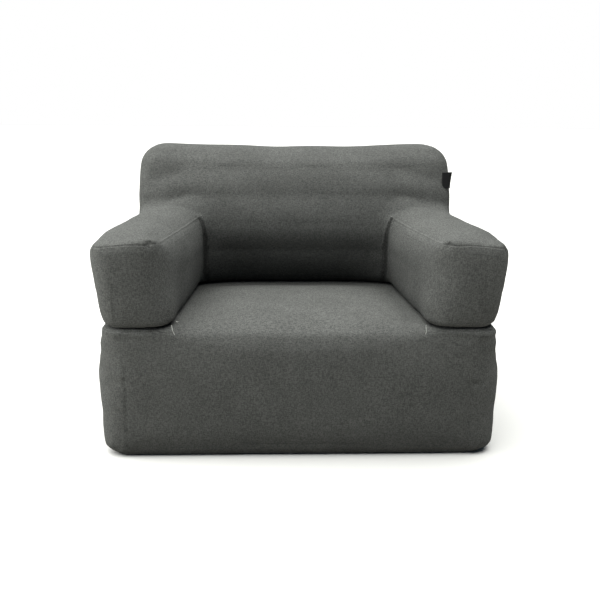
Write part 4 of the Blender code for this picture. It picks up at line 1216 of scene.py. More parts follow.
def ribbed(name, colour, pitch):
    """Woven tape: fine ribs across it."""
    made, tree, shader = shader_tree(name)
    split = add_node(tree, "ShaderNodeSeparateXYZ")
    tree.links.new(object_place(tree), split.inputs[0])
    total = math_node(tree, "ADD", split.outputs[0], split.outputs[2])
    wave = math_node(tree, "SINE", math_node(tree, "MULTIPLY", total, 2 * math.pi / pitch))
    share = mapped(tree, wave, -1.0, 1.0)
    dark = tuple(RIB_DARK_SHARE * part for part in colour)
    light = tuple(RIB_LIGHT_SHARE * part for part in colour)
    tree.links.new(mixed(tree, share, (*dark, 1), (*light, 1)), shader.inputs["Base Color"])
    bump = add_node(tree, "ShaderNodeBump")
    bump.inputs["Distance"].default_value = RIB_HEIGHT
    tree.links.new(share, bump.inputs["Height"])
    tree.links.new(bump.outputs[0], shader.inputs["Normal"])
    shader.inputs["Roughness"].default_value = TAPE_ROUGHNESS
    return made


def ride(made):
    """Fixes a piece to the chair."""
    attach(made, "chair")
    return made


def material(name):
    """The finish of this name."""
    return bpy.data.materials[name]


def finish_soft(name, mesh, nodes):
    """Makes a cushion's mesh a finished piece in place of its CAD nodes."""
    mesh.name = name
    mesh.materials.clear()
    mesh.materials.append(material("cover_cloth"))
    mesh.shade_smooth()
    made = ride(link(name, mesh))
    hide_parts(*nodes)
    return made


def held_base(points, distance):
    """How firmly each point of the base is held: on the floor, under the arms, behind and along seams."""
    x, y, z = points.T
    lid = z > BASE_HEIGHT - FLAT_BAND
    rest = (z < FLAT_BAND) | (y > REAR_Y - FLAT_BAND)
    rest |= lid & (np.abs(x) > SEAT_CROWN_HALF_WIDTH) | lid & (y > BACK_FRONT_Y)
    return np.where(rest, 1.0, SEAM_HOLD * hump(distance, SEAM_HOLD_REACH))


def base_seam_strength(points):
    """How deep each seam is sunk and how dark its painted shade line is: the seam across the seat's rounded
    front edge hardly shows; the others do.
    """
    x, y, z = points.T
    front = smooth((SEAT_SEAM_END_X - np.abs(x)) / SEAT_SEAM_FADE)
    front *= (y < FRONT_Y + SEAT_SEAM_DEPTH) & (z > BASE_HEIGHT / 2)
    return 1 - (1 - SEAT_SEAM_SHARE) * front


def base_waves(mesh):
    """The uneven fall of the base's sides, and the fold just under each arm."""
    places, facing = points_of(mesh), normals_of(mesh)
    x, y, z = places.T
    drift = 1 + VALLEY_DRIFT_SHARE * np.sin(VALLEY_DRIFT_TURN * y + VALLEY_DRIFT_START * np.sign(x))
    side = np.abs(facing[:, 0]) * (np.abs(x) > BASE_WIDTH / 2 - BASE_CORNER_RADIUS)
    low = (LOW_FILL + LOW_FILL_ON_RIGHT * (x > 0)) * smooth((LOW_FILL_TOP_Z - z) / LOW_FILL_FADE)
    high = HIGH_FILL * smooth((HIGH_FILL_TOP_Z - z) / HIGH_FILL_FADE)
    out = (low + high) * smooth(z / FOOT_FADE)
    for level, reach, depth in SIDE_VALLEYS:
        out -= drift * depth * hump(z - level, reach)
    front = np.clip(-facing[:, 1], 0, 1)
    under_arm = smooth((np.abs(x) - UNDER_ARM_X) / UNDER_ARM_FADE)
    below = z - UNDER_ARM_FOLD_Z + UNDER_ARM_SWAY * np.sin(UNDER_ARM_SWAY_TURN * x)
    fold = UNDER_ARM_FOLD * hump(below, UNDER_ARM_FOLD_REACH) * under_arm * np.maximum(front, side)
    swing = FRONT_SWING * front * np.sin(FRONT_SWING_X_TURN * x + FRONT_SWING_X_START)
    swing *= np.sin(FRONT_SWING_Z_TURN * z + FRONT_SWING_SLANT * x)
    flat = FRONT_FLAT * front * bulge(2 * z / BASE_HEIGHT - 1, BELLY_POWER)
    flat *= bulge(2 * x / BASE_WIDTH, SIDE_CROWN_POWER)
    move = out * side + fold + swing - flat
    set_points(mesh, places + facing * move[:, None])


def flatten_rest(mesh, floor_z):
    """Sets the points of the underside and of the rear wall back on their planes."""
    places = points_of(mesh)
    low = places[:, 2] < floor_z + REST_BAND
    places[low, 2] = floor_z
    rear = places[:, 1] > REAR_Y - REST_BAND
    places[rear, 1] = REAR_Y
    set_points(mesh, places)


class ARMCHAIR_OT_base(bpy.types.Operator):
    """Make the base: seat, band and bottom of the cover, blown up and sewn"""

    bl_idname = "armchair.base"
    bl_label = "Base"

    def execute(self, context):
        settings = context.scene.armchair_cushions
        seams = [BASE.seam(), BASE.seam(top=False)]
        mesh = skin("base", [BASE], settings.voxel)
        relax(mesh, np.full(len(mesh.vertices), SMOOTH_SHARE), SMOOTH_ROUNDS)
        mark_seams(mesh, seams)
        mesh = inflate(mesh, held_base(points_of(mesh), stored(mesh, "seam_distance")), settings)
        mesh = refined("base", mesh)
        base_waves(mesh)
        flatten_rest(mesh, 0.0)
        mesh = cut("base", mesh, rear_cutters("base"))
        sew(mesh, settings, base_seam_strength(points_of(mesh)))
        nodes = ("seat_panel", "base_band", "base_bottom_panel",
                 "base_web_left", "base_web_middle", "base_web_right")
        finish_soft("base_cushion", mesh, nodes)
        return {"FINISHED"}


def back_front_y(z):
    """Where the backrest's front face is beside the arms, at these heights."""
    line = np.empty((FRONT_LINE_STEPS, 3))
    line[:] = (FOLD_X, BACK_HEIGHT / 2, BACK_THICKNESS / 2)
    line[:, 1] *= np.linspace(-1, 1, FRONT_LINE_STEPS)
    _, y, height = BACK.surface(line).T
    return np.interp(z, height, y)


def join_weights(points):
    """1 where an arm's top and outer side meet the backrest, falling away round it."""
    x, y, z = points.T
    line_y = back_front_y(z)
    arm_top = BASE_HEIGHT + ARM_HEIGHT + JOIN_RISE
    across = smooth((np.abs(x) - JOIN_INNER_X) / JOIN_INNER_FADE)
    across *= 1 - smooth((np.abs(x) - JOIN_OUTER_X) / JOIN_OUTER_FADE)
    top = hump(np.hypot(y - line_y, z - arm_top), JOIN_REACH) * across
    outer = hump(np.hypot(y - line_y, np.abs(x) - BACK_WIDTH / 2), JOIN_REACH) * (z < arm_top)
    return np.maximum(top, outer)


def corner_weights(points):
    """1 along the inner front corner of each arm, half way up, where the air rounds it most."""
    x, y, z = points.T
    share = (z - BASE_HEIGHT) / ARM_HEIGHT
    inner = ARM_OUTER_FRONT_X - ARM_FRONT_WIDTH + ARM_LEAN * share
    far = np.hypot(np.abs(x) - inner, y - FRONT_Y)
    outer = np.hypot(np.abs(x) - inner - ARM_FRONT_WIDTH, y - FRONT_Y)
    middle = bulge(2 * share - 1, BELLY_POWER)
    return middle * np.maximum(hump(far, CORNER_REACH), OUTER_CORNER_SHARE * hump(outer, CORNER_REACH / 2))


def edge_weights(points):
    """1 along each arm's inner top edge behind its front corner, and along the top edge of the backrest."""
    x, y, z = points.T
    length = (y - FRONT_Y) / ARM_LENGTH
    outer = ARM_OUTER_FRONT_X + (ARM_OUTER_REAR_X - ARM_OUTER_FRONT_X) * length + ARM_LEAN
    inner = outer - ARM_FRONT_WIDTH - (ARM_REAR_WIDTH - ARM_FRONT_WIDTH) * length
    arm = hump(np.hypot(np.abs(x) - inner, z - BASE_HEIGHT - ARM_HEIGHT), EDGE_REACH)
    arm *= smooth((y - FRONT_Y - EDGE_START) / EDGE_FADE) * (y < BACK_FRONT_Y)
    top = BASE_HEIGHT + BACK_HEIGHT
    back = hump(np.hypot(y - BACK_FRONT_Y - BACK_TOP_SET_BACK, z - top + TOP_EDGE_DROP), EDGE_REACH)
    return np.maximum(arm, back * bulge(x / (BACK_WIDTH / 2), SIDE_CROWN_POWER))


def top_seam(y, z):
    """1 round the seam along the top of the backrest's front face."""
    behind = y - BACK_FRONT_Y - BACK_TOP_SET_BACK - TOP_SEAM_BAND
    return smooth((z - TOP_SEAM_Z) / TOP_SEAM_RISE) * (1 - smooth(behind / TOP_SEAM_FADE)) * (y > 0)


def held_back(points, distance):
    """How firmly each point of the backrest and arms is held: below, behind, over webs and along seams."""
    x, y, z = points.T
    rest = (z < BASE_HEIGHT + FLAT_BAND) | (y > REAR_Y - FLAT_BAND)
    web = np.zeros(len(points))
    for line in WEB_LINES:
        web = np.maximum(web, WEB_HOLD * hump(z - line, WEB_HOLD_WIDTH))
    web *= (np.abs(x) < BACK_WIDTH / 2) & (y < BACK_FRONT_Y + BACK_TOP_SET_BACK)
    seam = SEAM_HOLD * hump(distance, SEAM_HOLD_REACH) * (1 - top_seam(y, z))
    return np.where(rest, 1.0, np.maximum(web, seam))


def back_seam_strength(points):
    """How deep each seam is sunk and how strongly its line is painted with shade: faint along the top of the
    backrest's front face, and raised along the arms' inner top edges, where the line becomes a painted
    highlight.
    """
    x, y, z = points.T
    inner = ARM_OUTER_FRONT_X - ARM_FRONT_WIDTH + ARM_LEAN
    arm = (np.abs(x) < inner + ARM_SEAM_MARGIN_X) & (y < BACK_FRONT_Y + ARM_SEAM_MARGIN_Y)
    arm &= z > BASE_HEIGHT + ARM_HEIGHT / 2
    raised = arm * smooth((y - FRONT_Y - RAISED_SEAM_START) / RAISED_SEAM_FADE)
    return (1 - (1 - TOP_SEAM_SHARE) * top_seam(y, z)) * (1 - (1 + RAISED_SEAM_SHARE) * raised)


def arm_fill(x, y, z, facing):
    """How far the air fills out an arm's inner front corner and its sides."""
    side, wide = np.sign(x), np.abs(x)
    height = np.clip((z - BASE_HEIGHT) / ARM_HEIGHT, 0, 1)
    length = np.clip((y - FRONT_Y) / ARM_LENGTH, 0, 1)
    inner = ARM_OUTER_FRONT_X - ARM_FRONT_WIDTH + ARM_LEAN * height
    beside_arm = y < BACK_FRONT_Y
    belly = bulge(2 * (height - FULLEST_HEIGHT_SHARE), BELLY_POWER)
    corner = hump(np.hypot(wide - inner - INNER_CORNER_X, y - FRONT_Y - INNER_CORNER_Y), INNER_CORNER_REACH)
    low = np.clip(INNER_CORNER_LOW_SHARE - INNER_CORNER_FALL_SHARE * height, 0, 1)
    fill = INNER_CORNER_FILL * corner * low * smooth(height / INNER_CORNER_FOOT_SHARE)
    inward = np.clip(-facing[:, 0] * side, 0, 1) * (wide > INNER_SIDE_X) * beside_arm
    fill += INNER_SIDE_FILL * inward * belly * bulge(2 * length - 1, BELLY_POWER)
    outward = np.clip(facing[:, 0] * side, 0, 1) * (wide > BACK_WIDTH / 2 - OUTER_SIDE_BAND) * beside_arm
    fill += (OUTER_SIDE_FILL + OUTER_SIDE_FILL_ON_RIGHT * (x > 0)) * outward * belly
    return fill


def arm_bellies(mesh):
    """Fills out the arms, and lets the outer edge of each top sink in front and stand out behind."""
    places, facing = points_of(mesh), normals_of(mesh)
    x, y, z = places.T
    side, wide = np.sign(x), np.abs(x)
    height = np.clip((z - BASE_HEIGHT) / ARM_HEIGHT, 0, 1)
    from_inner = wide - (ARM_OUTER_FRONT_X - ARM_FRONT_WIDTH + ARM_LEAN * height)
    moved = places + facing * arm_fill(x, y, z, facing)[:, None]
    drop = smooth((from_inner - ARM_DROP_X) / ARM_DROP_WIDTH)
    drop *= smooth((height - ARM_DROP_START_SHARE) / ARM_DROP_RISE_SHARE)
    drop *= 1 - smooth((y - FRONT_Y - ARM_DROP_END) / ARM_DROP_FADE)
    hip = smooth((height - ARM_HIP_START_SHARE) / ARM_HIP_RISE_SHARE) * hump(y - ARM_HIP_Y, ARM_HIP_REACH)
    hip *= smooth((from_inner - ARM_HIP_X) / ARM_HIP_WIDTH)
    foot = smooth((ARM_FOOT_SHARE - height) / ARM_FOOT_SHARE) * (wide > BACK_WIDTH / 2 - ARM_FOOT_BAND)
    moved[:, 0] += side * (ARM_HIP_OUT * hip - ARM_FOOT_DRAW * foot)
    moved[:, 2] += ARM_HIP_LIFT * hip - ARM_DROP * drop
    set_points(mesh, moved)


def valley_depth(z, wide, droop):
    """The level valleys over the webs, which deepen towards the backrest's ends."""
    ends = smooth((wide - VALLEY_END_START_X) / VALLEY_END_FADE_IN)
    ends *= 1 - smooth((wide - VALLEY_END_STOP_X) / VALLEY_END_FADE_OUT)
    inner = 1 - smooth((wide - VALLEY_MIDDLE_X) / VALLEY_MIDDLE_FADE)
    depth = np.zeros(len(z))
    for line, middle, end in BACK_VALLEYS:
        depth += hump(z - line + droop, BACK_VALLEY_REACH) * (middle * inner + end * ends)
    return depth


def front_swell(z, wide, droop):
    """The puffs between the valleys, the fuller small of the back and the drawn-in foot."""
    swell = LUMBAR_SWELL * hump(z - LUMBAR_SWELL_Z, LUMBAR_REACH)
    swell *= bulge(wide / LUMBAR_HALF_WIDTH, SIDE_CROWN_POWER)
    drawn = hump(z - BASE_HEIGHT, FOOT_DRAW_REACH) * bulge(wide / FOOT_DRAW_HALF_WIDTH, SIDE_CROWN_POWER)
    swell -= FOOT_DRAW * drawn
    for low, high in zip(PUFF_LINES, PUFF_LINES[1:]):
        share = np.clip((z + droop - low) / (high - low), 0, 1)
        swell += PUFF_SWELL * np.sin(math.pi * share) * (1 - smooth((wide - VALLEY_MIDDLE_X) / PUFF_FADE))
    return swell


def top_set_back(y, z, wide):
    """How far the upper part of the backrest lies back, most of all at its ends."""
    ends = END_SET_BACK * smooth((wide - END_SET_BACK_X) / END_SET_BACK_WIDTH)
    set_back = (TOP_SET_BACK + ends) * smooth((z - SET_BACK_Z) / SET_BACK_RISE)
    set_back += RIM_SET_BACK * smooth((z - RIM_SET_BACK_Z) / RIM_SET_BACK_RISE)
    return set_back * (y > 0) * (1 - smooth((y - SET_BACK_END_Y) / SET_BACK_FADE))


def arm_tucks(mesh, places):
    """How deep the tucks at the arms' front seams are. Their lines are marked as seams too, so they also get
    the seam's sunk line and its painted shade.
    """
    depth = np.zeros(len(places))
    distance = stored(mesh, "seam_distance")
    in_front = places[:, 1] < FRONT_Y + TUCK_HIDDEN
    for side, lines in ARM_TUCKS.items():
        for start, end in lines:
            near, across = crease(places[:, ::2] * (side, 1), start, end)
            depth += TUCK_DEPTH * near * in_front
            distance = np.where(in_front & (np.abs(across) < np.abs(distance)), across, distance)
    mesh.attributes["seam_distance"].data.foreach_set("value", distance.astype(np.float32))
    return depth


def back_folds(mesh):
    """Lays the valleys, puffs, tucks and slow waves on the backrest and the arms."""
    places, facing = points_of(mesh), normals_of(mesh)
    x, y, z = places.T
    wide = np.abs(x)
    droop = VALLEY_DROOP * smooth((wide - VALLEY_DROOP_X) / VALLEY_DROOP_WIDTH)
    front = np.clip(-facing[:, 1], 0, 1) * (y < BACK_FRONT_Y + BACK_TOP_SET_BACK) * (y > 0)
    move = front * (front_swell(z, wide, droop) - valley_depth(z, wide, droop))
    gusset = np.clip(facing[:, 2], 0, 1) * (z > GUSSET_Z)
    move += GUSSET_WAVE * gusset * np.sin(GUSSET_WAVE_TURN * x + GUSSET_SWAY * np.sin(GUSSET_SWAY_TURN * x))
    inner = np.clip(-facing[:, 0] * np.sign(x), 0, 1) * (y < INNER_FACE_END_Y) * (wide < INNER_FACE_X)
    move += INNER_WAVE * inner * np.sin(INNER_WAVE_Z_TURN * z + INNER_WAVE_Y_TURN * y)
    move -= arm_tucks(mesh, places)
    moved = places + facing * move[:, None]
    moved[:, 1] += top_set_back(y, z, wide)
    set_points(mesh, moved)


def fold_lean(z):
    """How far a corner fold's middle lies outwards at these heights, beside its foot."""
    return FOLD_LEAN * np.clip((z - FOLD_LEAN_START_Z) / FOLD_LEAN_HEIGHT, 0, None) ** 2


def corner_line(mesh, side):
    """The backrest's front face just beside a corner fold: heights, and the places along Y."""
    tree = BVHTree.FromPolygons([v.co for v in mesh.vertices], [tuple(p.vertices) for p in mesh.polygons])
    heights = np.linspace(BASE_HEIGHT + FOLD_RISE, BASE_HEIGHT + FOLD_RISE + 2 * FOLD_HALF[1], FOLD_STEPS)
    across = side * (FOLD_X + fold_lean(heights) - CHANNEL_HALF[0] - FOLD_LOOK)
    found = [
        tree.ray_cast(Vector((x, 0, z)), Vector((0, 1, 0)))[0].y for x, z in zip(across, heights)
    ]
    even = np.full(FOLD_EVEN_STEPS, 1 / FOLD_EVEN_STEPS)
    return heights, np.convolve(np.pad(found, FOLD_EVEN_STEPS // 2, mode="edge"), even, mode="valid")


def fold_place(side, half, rise, line):
    """Stands a closed bar in the corner between an arm and the backrest. It leans out at its top."""

    def place(points):
        x, height, forward = points.T
        z = BASE_HEIGHT + rise + half[1] + height
        return np.column_stack([side * (FOLD_X + fold_lean(z) + x), np.interp(z, *line) - forward, z])

    return place


def fold_strip(side, line):
    """The narrow upright fold where an arm's inner side meets the backrest."""
    place = fold_place(side, FOLD_HALF, FOLD_RISE, line)
    return Block(
        half=FOLD_HALF,
        corner_radius=FOLD_HALF[0] - FOLD_EDGE,
        lid_radius=lambda x, y: np.full(len(x), FOLD_HALF[2] / 2),
        floor_radius=FOLD_HALF[2] / 2,
        shape=lambda local, shares: place(local) + (0, FOLD_SUNK, 0),
        mirrored=side > 0,
    )


def fold_channel(side, line):
    """The tuck that a corner fold lies in."""
    points, quads = box_grid(CHANNEL_HALF, CHANNEL_SPACING)
    placed = fold_place(side, CHANNEL_HALF, CHANNEL_RISE, line)(points)
    placed[:, 0] += side * CHANNEL_SHIFT
    return new_mesh("channel", placed, quads[:, ::-1] if side > 0 else quads)


class ARMCHAIR_OT_back_and_arms(bpy.types.Operator):
    """Make the backrest and both arms, blown up as one and sewn"""

    bl_idname = "armchair.back_and_arms"
    bl_label = "Backrest and arms"

    def execute(self, context):
        settings = context.scene.armchair_cushions
        arms = [arm_block(side) for side in (-1, 1)]
        seams = [block.seam(top=top) for block in (BACK, *arms) for top in (True, False)]
        mesh = skin("back", [BACK, *arms], settings.voxel)
        relax(mesh, np.full(len(mesh.vertices), SMOOTH_SHARE), SMOOTH_ROUNDS)
        mark_seams(mesh, seams)
        relax(mesh, join_weights(points_of(mesh)), JOIN_ROUNDS)
        relax(mesh, corner_weights(points_of(mesh)), CORNER_ROUNDS)
        relax(mesh, edge_weights(points_of(mesh)), EDGE_ROUNDS)
        mesh = inflate(mesh, held_back(points_of(mesh), stored(mesh, "seam_distance")), settings)
        _, y, z = points_of(mesh).T
        near = hump(stored(mesh, "seam_distance"), TOP_SEAM_REACH)
        relax(mesh, near * top_seam(y, z), TOP_SEAM_ROUNDS)
        mesh = refined("back", mesh)
        arm_bellies(mesh)
        back_folds(mesh)
        flatten_rest(mesh, BASE_HEIGHT + ARM_FLOOR_GAP)
        channels = [fold_channel(side, corner_line(mesh, side)) for side in (-1, 1)]
        mesh = cut("back", mesh, (*rear_cutters("back"), *channels))
        sew(mesh, settings, back_seam_strength(points_of(mesh)))
        nodes = [f"{side}_arm_{part}" for side in ("left", "right")
                 for part in ("top_panel", "band", "bottom_panel", "web")]
        nodes += ["back_front_panel", "back_gusset", "back_rear_panel"]
        nodes += [f"back_web_{level}" for level in ("lowest", "low", "high", "top")]
        finish_soft("back_and_arm_cushion", mesh, nodes)
        return {"FINISHED"}


class ARMCHAIR_OT_corner_folds(bpy.types.Operator):
    """Make the upright fold between each arm and the backrest"""

    bl_idname = "armchair.corner_folds"
    bl_label = "Corner folds"

    def execute(self, context):
        for name, side in (("left", -1), ("right", 1)):
            block = fold_strip(side, corner_line(bpy.data.objects["back_and_arm_cushion"].data, side))
            points, quads = box_grid(block.half, FOLD_SPACING)
            quads = quads[:, ::-1] if block.mirrored else quads
            mesh = new_mesh(f"{name}_corner_fold", block.surface(points), quads)
            mesh.materials.append(material("cover_cloth"))
            mesh.shade_smooth()
            store(mesh, "seam_distance", np.full(len(points), SEAM_REACH))
            store(mesh, "seam_strength", np.zeros(len(points)))
            made = ride(link(mesh.name, mesh))
        return {"FINISHED"}


class ARMCHAIR_OT_side_tab(bpy.types.Operator):
    """Make the black ribbon in the seam at the backrest's right edge"""

    bl_idname = "armchair.side_tab"
    bl_label = "Side tab"

    def execute(self, context):
        rows, columns = TAB_ROWS, TAB_COLUMNS
        turns = 2 * math.pi * np.arange(columns) / columns
        away = (1 - np.cos(turns)) / 2
        points = []
        for share in np.linspace(0, 1, rows):
            reach = TAB_FOOT_REACH + (TAB_REACH - TAB_FOOT_REACH) * share**TAB_REACH_POWER
            half_gap = TAB_ROOT_HALF_GAP + TAB_FOLD_HALF_GAP * away
            points.append(np.column_stack([
                TAB_LOW[0] - TAB_ROOT + (reach + TAB_ROOT) * away,
                TAB_LOW[1] + TAB_FRONT_INSET + TAB_LEAN * share + half_gap * np.sin(turns) + TAB_CURL * away,
                TAB_LOW[2] + (TAB_HIGH[2] - TAB_LOW[2]) * share + TAB_LIFT * away * share,
            ]))
        points = np.concatenate(points)
        faces = [
            (row * columns + step, row * columns + (step + 1) % columns,
             (row + 1) * columns + (step + 1) % columns, (row + 1) * columns + step)
            for row in range(rows - 1) for step in range(columns)
        ]
        faces += [tuple(reversed(range(columns))), tuple(range((rows - 1) * columns, rows * columns))]
        mesh = new_mesh("side_tab_ribbon", points, faces)
        mesh.materials.append(material("tab_ribbon"))
        made = ride(link(mesh.name, mesh))
        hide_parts("side_tab")
        return {"FINISHED"}


ROW_SOCKETS = (
    ("Line", "NodeSocketGeometry"),
    ("Pitch", "NodeSocketFloat"),
    ("Length", "NodeSocketFloat"),
    ("Radius", "NodeSocketFloat"),
    ("Across", "NodeSocketBool"),
    ("Axis", "NodeSocketVector"),
    ("Material", "NodeSocketMaterial"),
)


def row_tree():
    """Short rods laid in a row along a line: stitches along it, or teeth across it."""
    tree = bpy.data.node_groups.new("rods_in_a_row", "GeometryNodeTree")
    tree.interface.new_socket("Geometry", in_out="OUTPUT", socket_type="NodeSocketGeometry")
    for name, kind in ROW_SOCKETS:
        tree.interface.new_socket(name, in_out="INPUT", socket_type=kind)
    given = tree.nodes.new("NodeGroupInput").outputs
    line = tree.nodes.new("GeometryNodeMeshToCurve")
    tree.links.new(given["Line"], line.inputs["Mesh"])
    spots = add_node(tree, "GeometryNodeCurveToPoints", mode="LENGTH")
    tree.links.new(line.outputs[0], spots.inputs["Curve"])
    tree.links.new(given["Pitch"], spots.inputs["Length"])
    rod = tree.nodes.new("GeometryNodeMeshCylinder")
    rod.inputs["Vertices"].default_value = ROD_SIDES
    tree.links.new(given["Radius"], rod.inputs["Radius"])
    tree.links.new(given["Length"], rod.inputs["Depth"])
    way = add_node(tree, "GeometryNodeSwitch", input_type="VECTOR")
    tree.links.new(given["Across"], way.inputs["Switch"])
    tree.links.new(spots.outputs["Tangent"], way.inputs["False"])
    tree.links.new(given["Axis"], way.inputs["True"])
    aim = add_node(tree, "FunctionNodeAlignRotationToVector", axis="Z")
    tree.links.new(way.outputs[0], aim.inputs["Vector"])
    placed = tree.nodes.new("GeometryNodeInstanceOnPoints")
    tree.links.new(spots.outputs["Points"], placed.inputs["Points"])
    tree.links.new(rod.outputs["Mesh"], placed.inputs["Instance"])
    tree.links.new(aim.outputs[0], placed.inputs["Rotation"])
    real = tree.nodes.new("GeometryNodeRealizeInstances")
    tree.links.new(placed.outputs[0], real.inputs[0])
    finish = tree.nodes.new("GeometryNodeSetMaterial")
    tree.links.new(real.outputs[0], finish.inputs["Geometry"])
    tree.links.new(given["Material"], finish.inputs["Material"])
    tree.links.new(finish.outputs[0], tree.nodes.new("NodeGroupOutput").inputs[0])
    return tree


def rods(lines, **values):
    """A mesh of rods along each of these lines of points."""
    points = np.concatenate(lines)
    edges, start = [], 0
    for line in lines:
        edges += [(start + step, start + step + 1) for step in range(len(line) - 1)]
        start += len(line)
    mesh = bpy.data.meshes.new("rods")
    mesh.from_pydata([tuple(point) for point in points], edges, [])
    source = link("rods", mesh)
    modifier = source.modifiers.new("Rods", "NODES")
    tree = bpy.data.node_groups["rods_in_a_row"]
    modifier.node_group = tree
    for item in tree.interface.items_tree:
        if item.in_out == "INPUT" and item.name in values:
            modifier[item.identifier] = values[item.name]
    source.update_tag()
    return applied(source)


def stitch_row(name, lines, settings):
    """Rows of stitches along these lines, as a finished piece."""
    mesh = rods(lines, Pitch=settings.stitch_pitch, Length=settings.stitch_pitch * STITCH_LENGTH_SHARE,
                Radius=STITCH_RADIUS, Across=False, Axis=(0, 0, 1), Material=material("stitch_thread"))
    mesh.name = name
    return ride(link(name, mesh))


class ARMCHAIR_OT_zips(bpy.types.Operator):
    """Make the teeth and the stitching of both zips"""

    bl_idname = "armchair.zips"
    bl_label = "Zips"

    def execute(self, context):
        settings = context.scene.armchair_fittings
        ends = np.array([
            (ZIP_X - ZIP_LENGTH / 2 + TEETH_START_INSET, 0, 0),
            (ZIP_X + ZIP_LENGTH / 2 - TEETH_END_INSET, 0, 0),
        ])
        for part, z in ZIPS.items():
            teeth = [
                ends + (shift, REAR_Y - TOOTH_SUNK, z + side * TOOTH_RISE)
                for side, shift in ((-1, 0), (1, settings.tooth_pitch / 2))
            ]
            mesh = rods(teeth, Pitch=settings.tooth_pitch, Length=TOOTH_LENGTH, Radius=TOOTH_RADIUS,
                        Across=True, Axis=(0, 0, 1), Material=material("zip_tooth"))
            mesh.name = f"{part}_zip_teeth"
            ride(link(mesh.name, mesh))
            stitches = [
                ends + (0, REAR_Y + STITCH_LIFT, z + side * (SLOT_HALF_HEIGHT + STITCH_MARGIN))
                for side in (-1, 1)
            ]
            stitch_row(f"{part}_zip_stitches", stitches, settings)
        return {"FINISHED"}


class ARMCHAIR_OT_valves(bpy.types.Operator):
    """Make the film behind each valve opening and the stitches of its binding"""

    bl_idname = "armchair.valves"
    bl_label = "Valves"

    def execute(self, context):
        settings = context.scene.armchair_fittings
        turns = 2 * math.pi * np.linspace(0, 1, ROUND_STEPS + 1)
        circle = np.column_stack([np.cos(turns), np.zeros(len(turns)), np.sin(turns)])
        chambers = {"base": "base_bladder", "back": "back_and_arm_bladder"}
        for part, (x, z) in VALVES.items():
            disc = cylinder(OPENING_RADIUS - FILM_CLEARANCE, CHAMBER_REAR_Y - FILM_THICKNESS / 2,
                            CHAMBER_REAR_Y + FILM_THICKNESS, x, z)
            hole = cylinder(NECK_RADIUS, CHAMBER_REAR_Y - FILM_CUT_DEPTH,
                            CHAMBER_REAR_Y + FILM_CUT_DEPTH, x, z)
            mesh = cut(f"{part}_chamber_film", disc, [hole])
            mesh.name = f"{part}_chamber_film"
            mesh.materials.clear()
            mesh.materials.append(material("chamber_film"))
            made = ride(link(mesh.name, mesh))
            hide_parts(chambers[part])
            ring = circle * BINDING_RADIUS + (x, BINDING_FACE_Y, z)
            stitch_row(f"{part}_binding_stitches", [ring], settings)
        return {"FINISHED"}


class ARMCHAIR_OT_threads(bpy.types.Operator):
    """Make the loose thread ends at the front corners of the seat"""

    bl_idname = "armchair.threads"
    bl_label = "Loose threads"

    def execute(self, context):
        for name, places in THREADS.items():
            data = bpy.data.curves.new(name, "CURVE")
            data.dimensions = "3D"
            data.bevel_depth = THREAD_RADIUS
            data.bevel_resolution = THREAD_SIDES_LEVEL
            data.use_fill_caps = True
            spline = data.splines.new("NURBS")
            spline.points.add(len(places) - 1)
            for point, place in zip(spline.points, places):
                point.co = (*place, 1)
            spline.order_u = THREAD_ORDER
            spline.use_endpoint_u = True
            mesh = applied(link(name, data))
            mesh.name = name
            mesh.materials.clear()
            mesh.materials.append(material("thread_end"))
            ride(link(name, mesh))
        return {"FINISHED"}


FINISHES = {
    "valve_base": "valve_plastic",
    "valve_insert": "valve_plastic",
    "valve_cap": "valve_plastic",
    "valve_insert_seal": "seal_rubber",
    "valve_cap_seal": "seal_rubber",
    "valve_flap": "flap_silicone",
    "valve_binding": "binding_tape",
    "zip_upper_tape": "zip_tape",
    "zip_lower_tape": "zip_tape",
    "zip_slider": "zip_metal",
    "zip_pull": "zip_metal",
}


class ARMCHAIR_OT_finishes(bpy.types.Operator):
    """Mix the finishes, and give the fittings theirs"""

    bl_idname = "armchair.finishes"
    bl_label = "Finishes"

    def execute(self, context):
        weave_group()
        row_tree()
        cover_cloth(context.scene.armchair_cloth)
        settings = context.scene.armchair_fittings
        worn("valve_plastic", settings.plastic, roughness=0.42, scale=60.0, bump=0.00003)
        worn("seal_rubber", settings.rubber, roughness=0.7, scale=90.0, bump=0.00003)
        worn("flap_silicone", settings.silicone, roughness=0.35, scale=120.0, bump=0.00002)
        worn("chamber_film", settings.film, roughness=0.3, scale=40.0, bump=0.00008)
        worn("zip_metal", settings.metal, roughness=0.36, scale=150.0, metallic=1.0, bump=0.00001)
        worn("zip_tooth", settings.tape, roughness=0.4, scale=200.0, bump=0.00002)
        worn("stitch_thread", settings.tape, roughness=0.8, scale=400.0, bump=0.00003)
        worn("thread_end", settings.thread, roughness=0.8, scale=400.0, bump=0.00003)
        ribbed("binding_tape", settings.tape, pitch=0.0016)
        ribbed("zip_tape", settings.tape, pitch=0.0012)
        ribbed("tab_ribbon", settings.tape, pitch=0.0022)
        for part in PARTS:
            for piece, finish in FINISHES.items():
                slots = NODES[f"{part}_{piece}"].data.materials
                for index in range(len(slots)):
                    slots[index] = material(finish)
        return {"FINISHED"}


def camera_matrix():
    """Where the camera stands and how it is turned."""
    forward = Vector((
        math.sin(CAMERA_YAW) * math.cos(CAMERA_PITCH),
        math.cos(CAMERA_YAW) * math.cos(CAMERA_PITCH),
        math.sin(CAMERA_PITCH),
    ))
    right = Vector((math.cos(CAMERA_YAW), -math.sin(CAMERA_YAW), 0))
    up = right.cross(forward)
    turned = right * math.cos(CAMERA_ROLL) + up * math.sin(CAMERA_ROLL)
    upright = up * math.cos(CAMERA_ROLL) - right * math.sin(CAMERA_ROLL)
    return Matrix.LocRotScale(Vector(CAMERA_PLACE), Matrix((turned, upright, -forward)).transposed(), None)


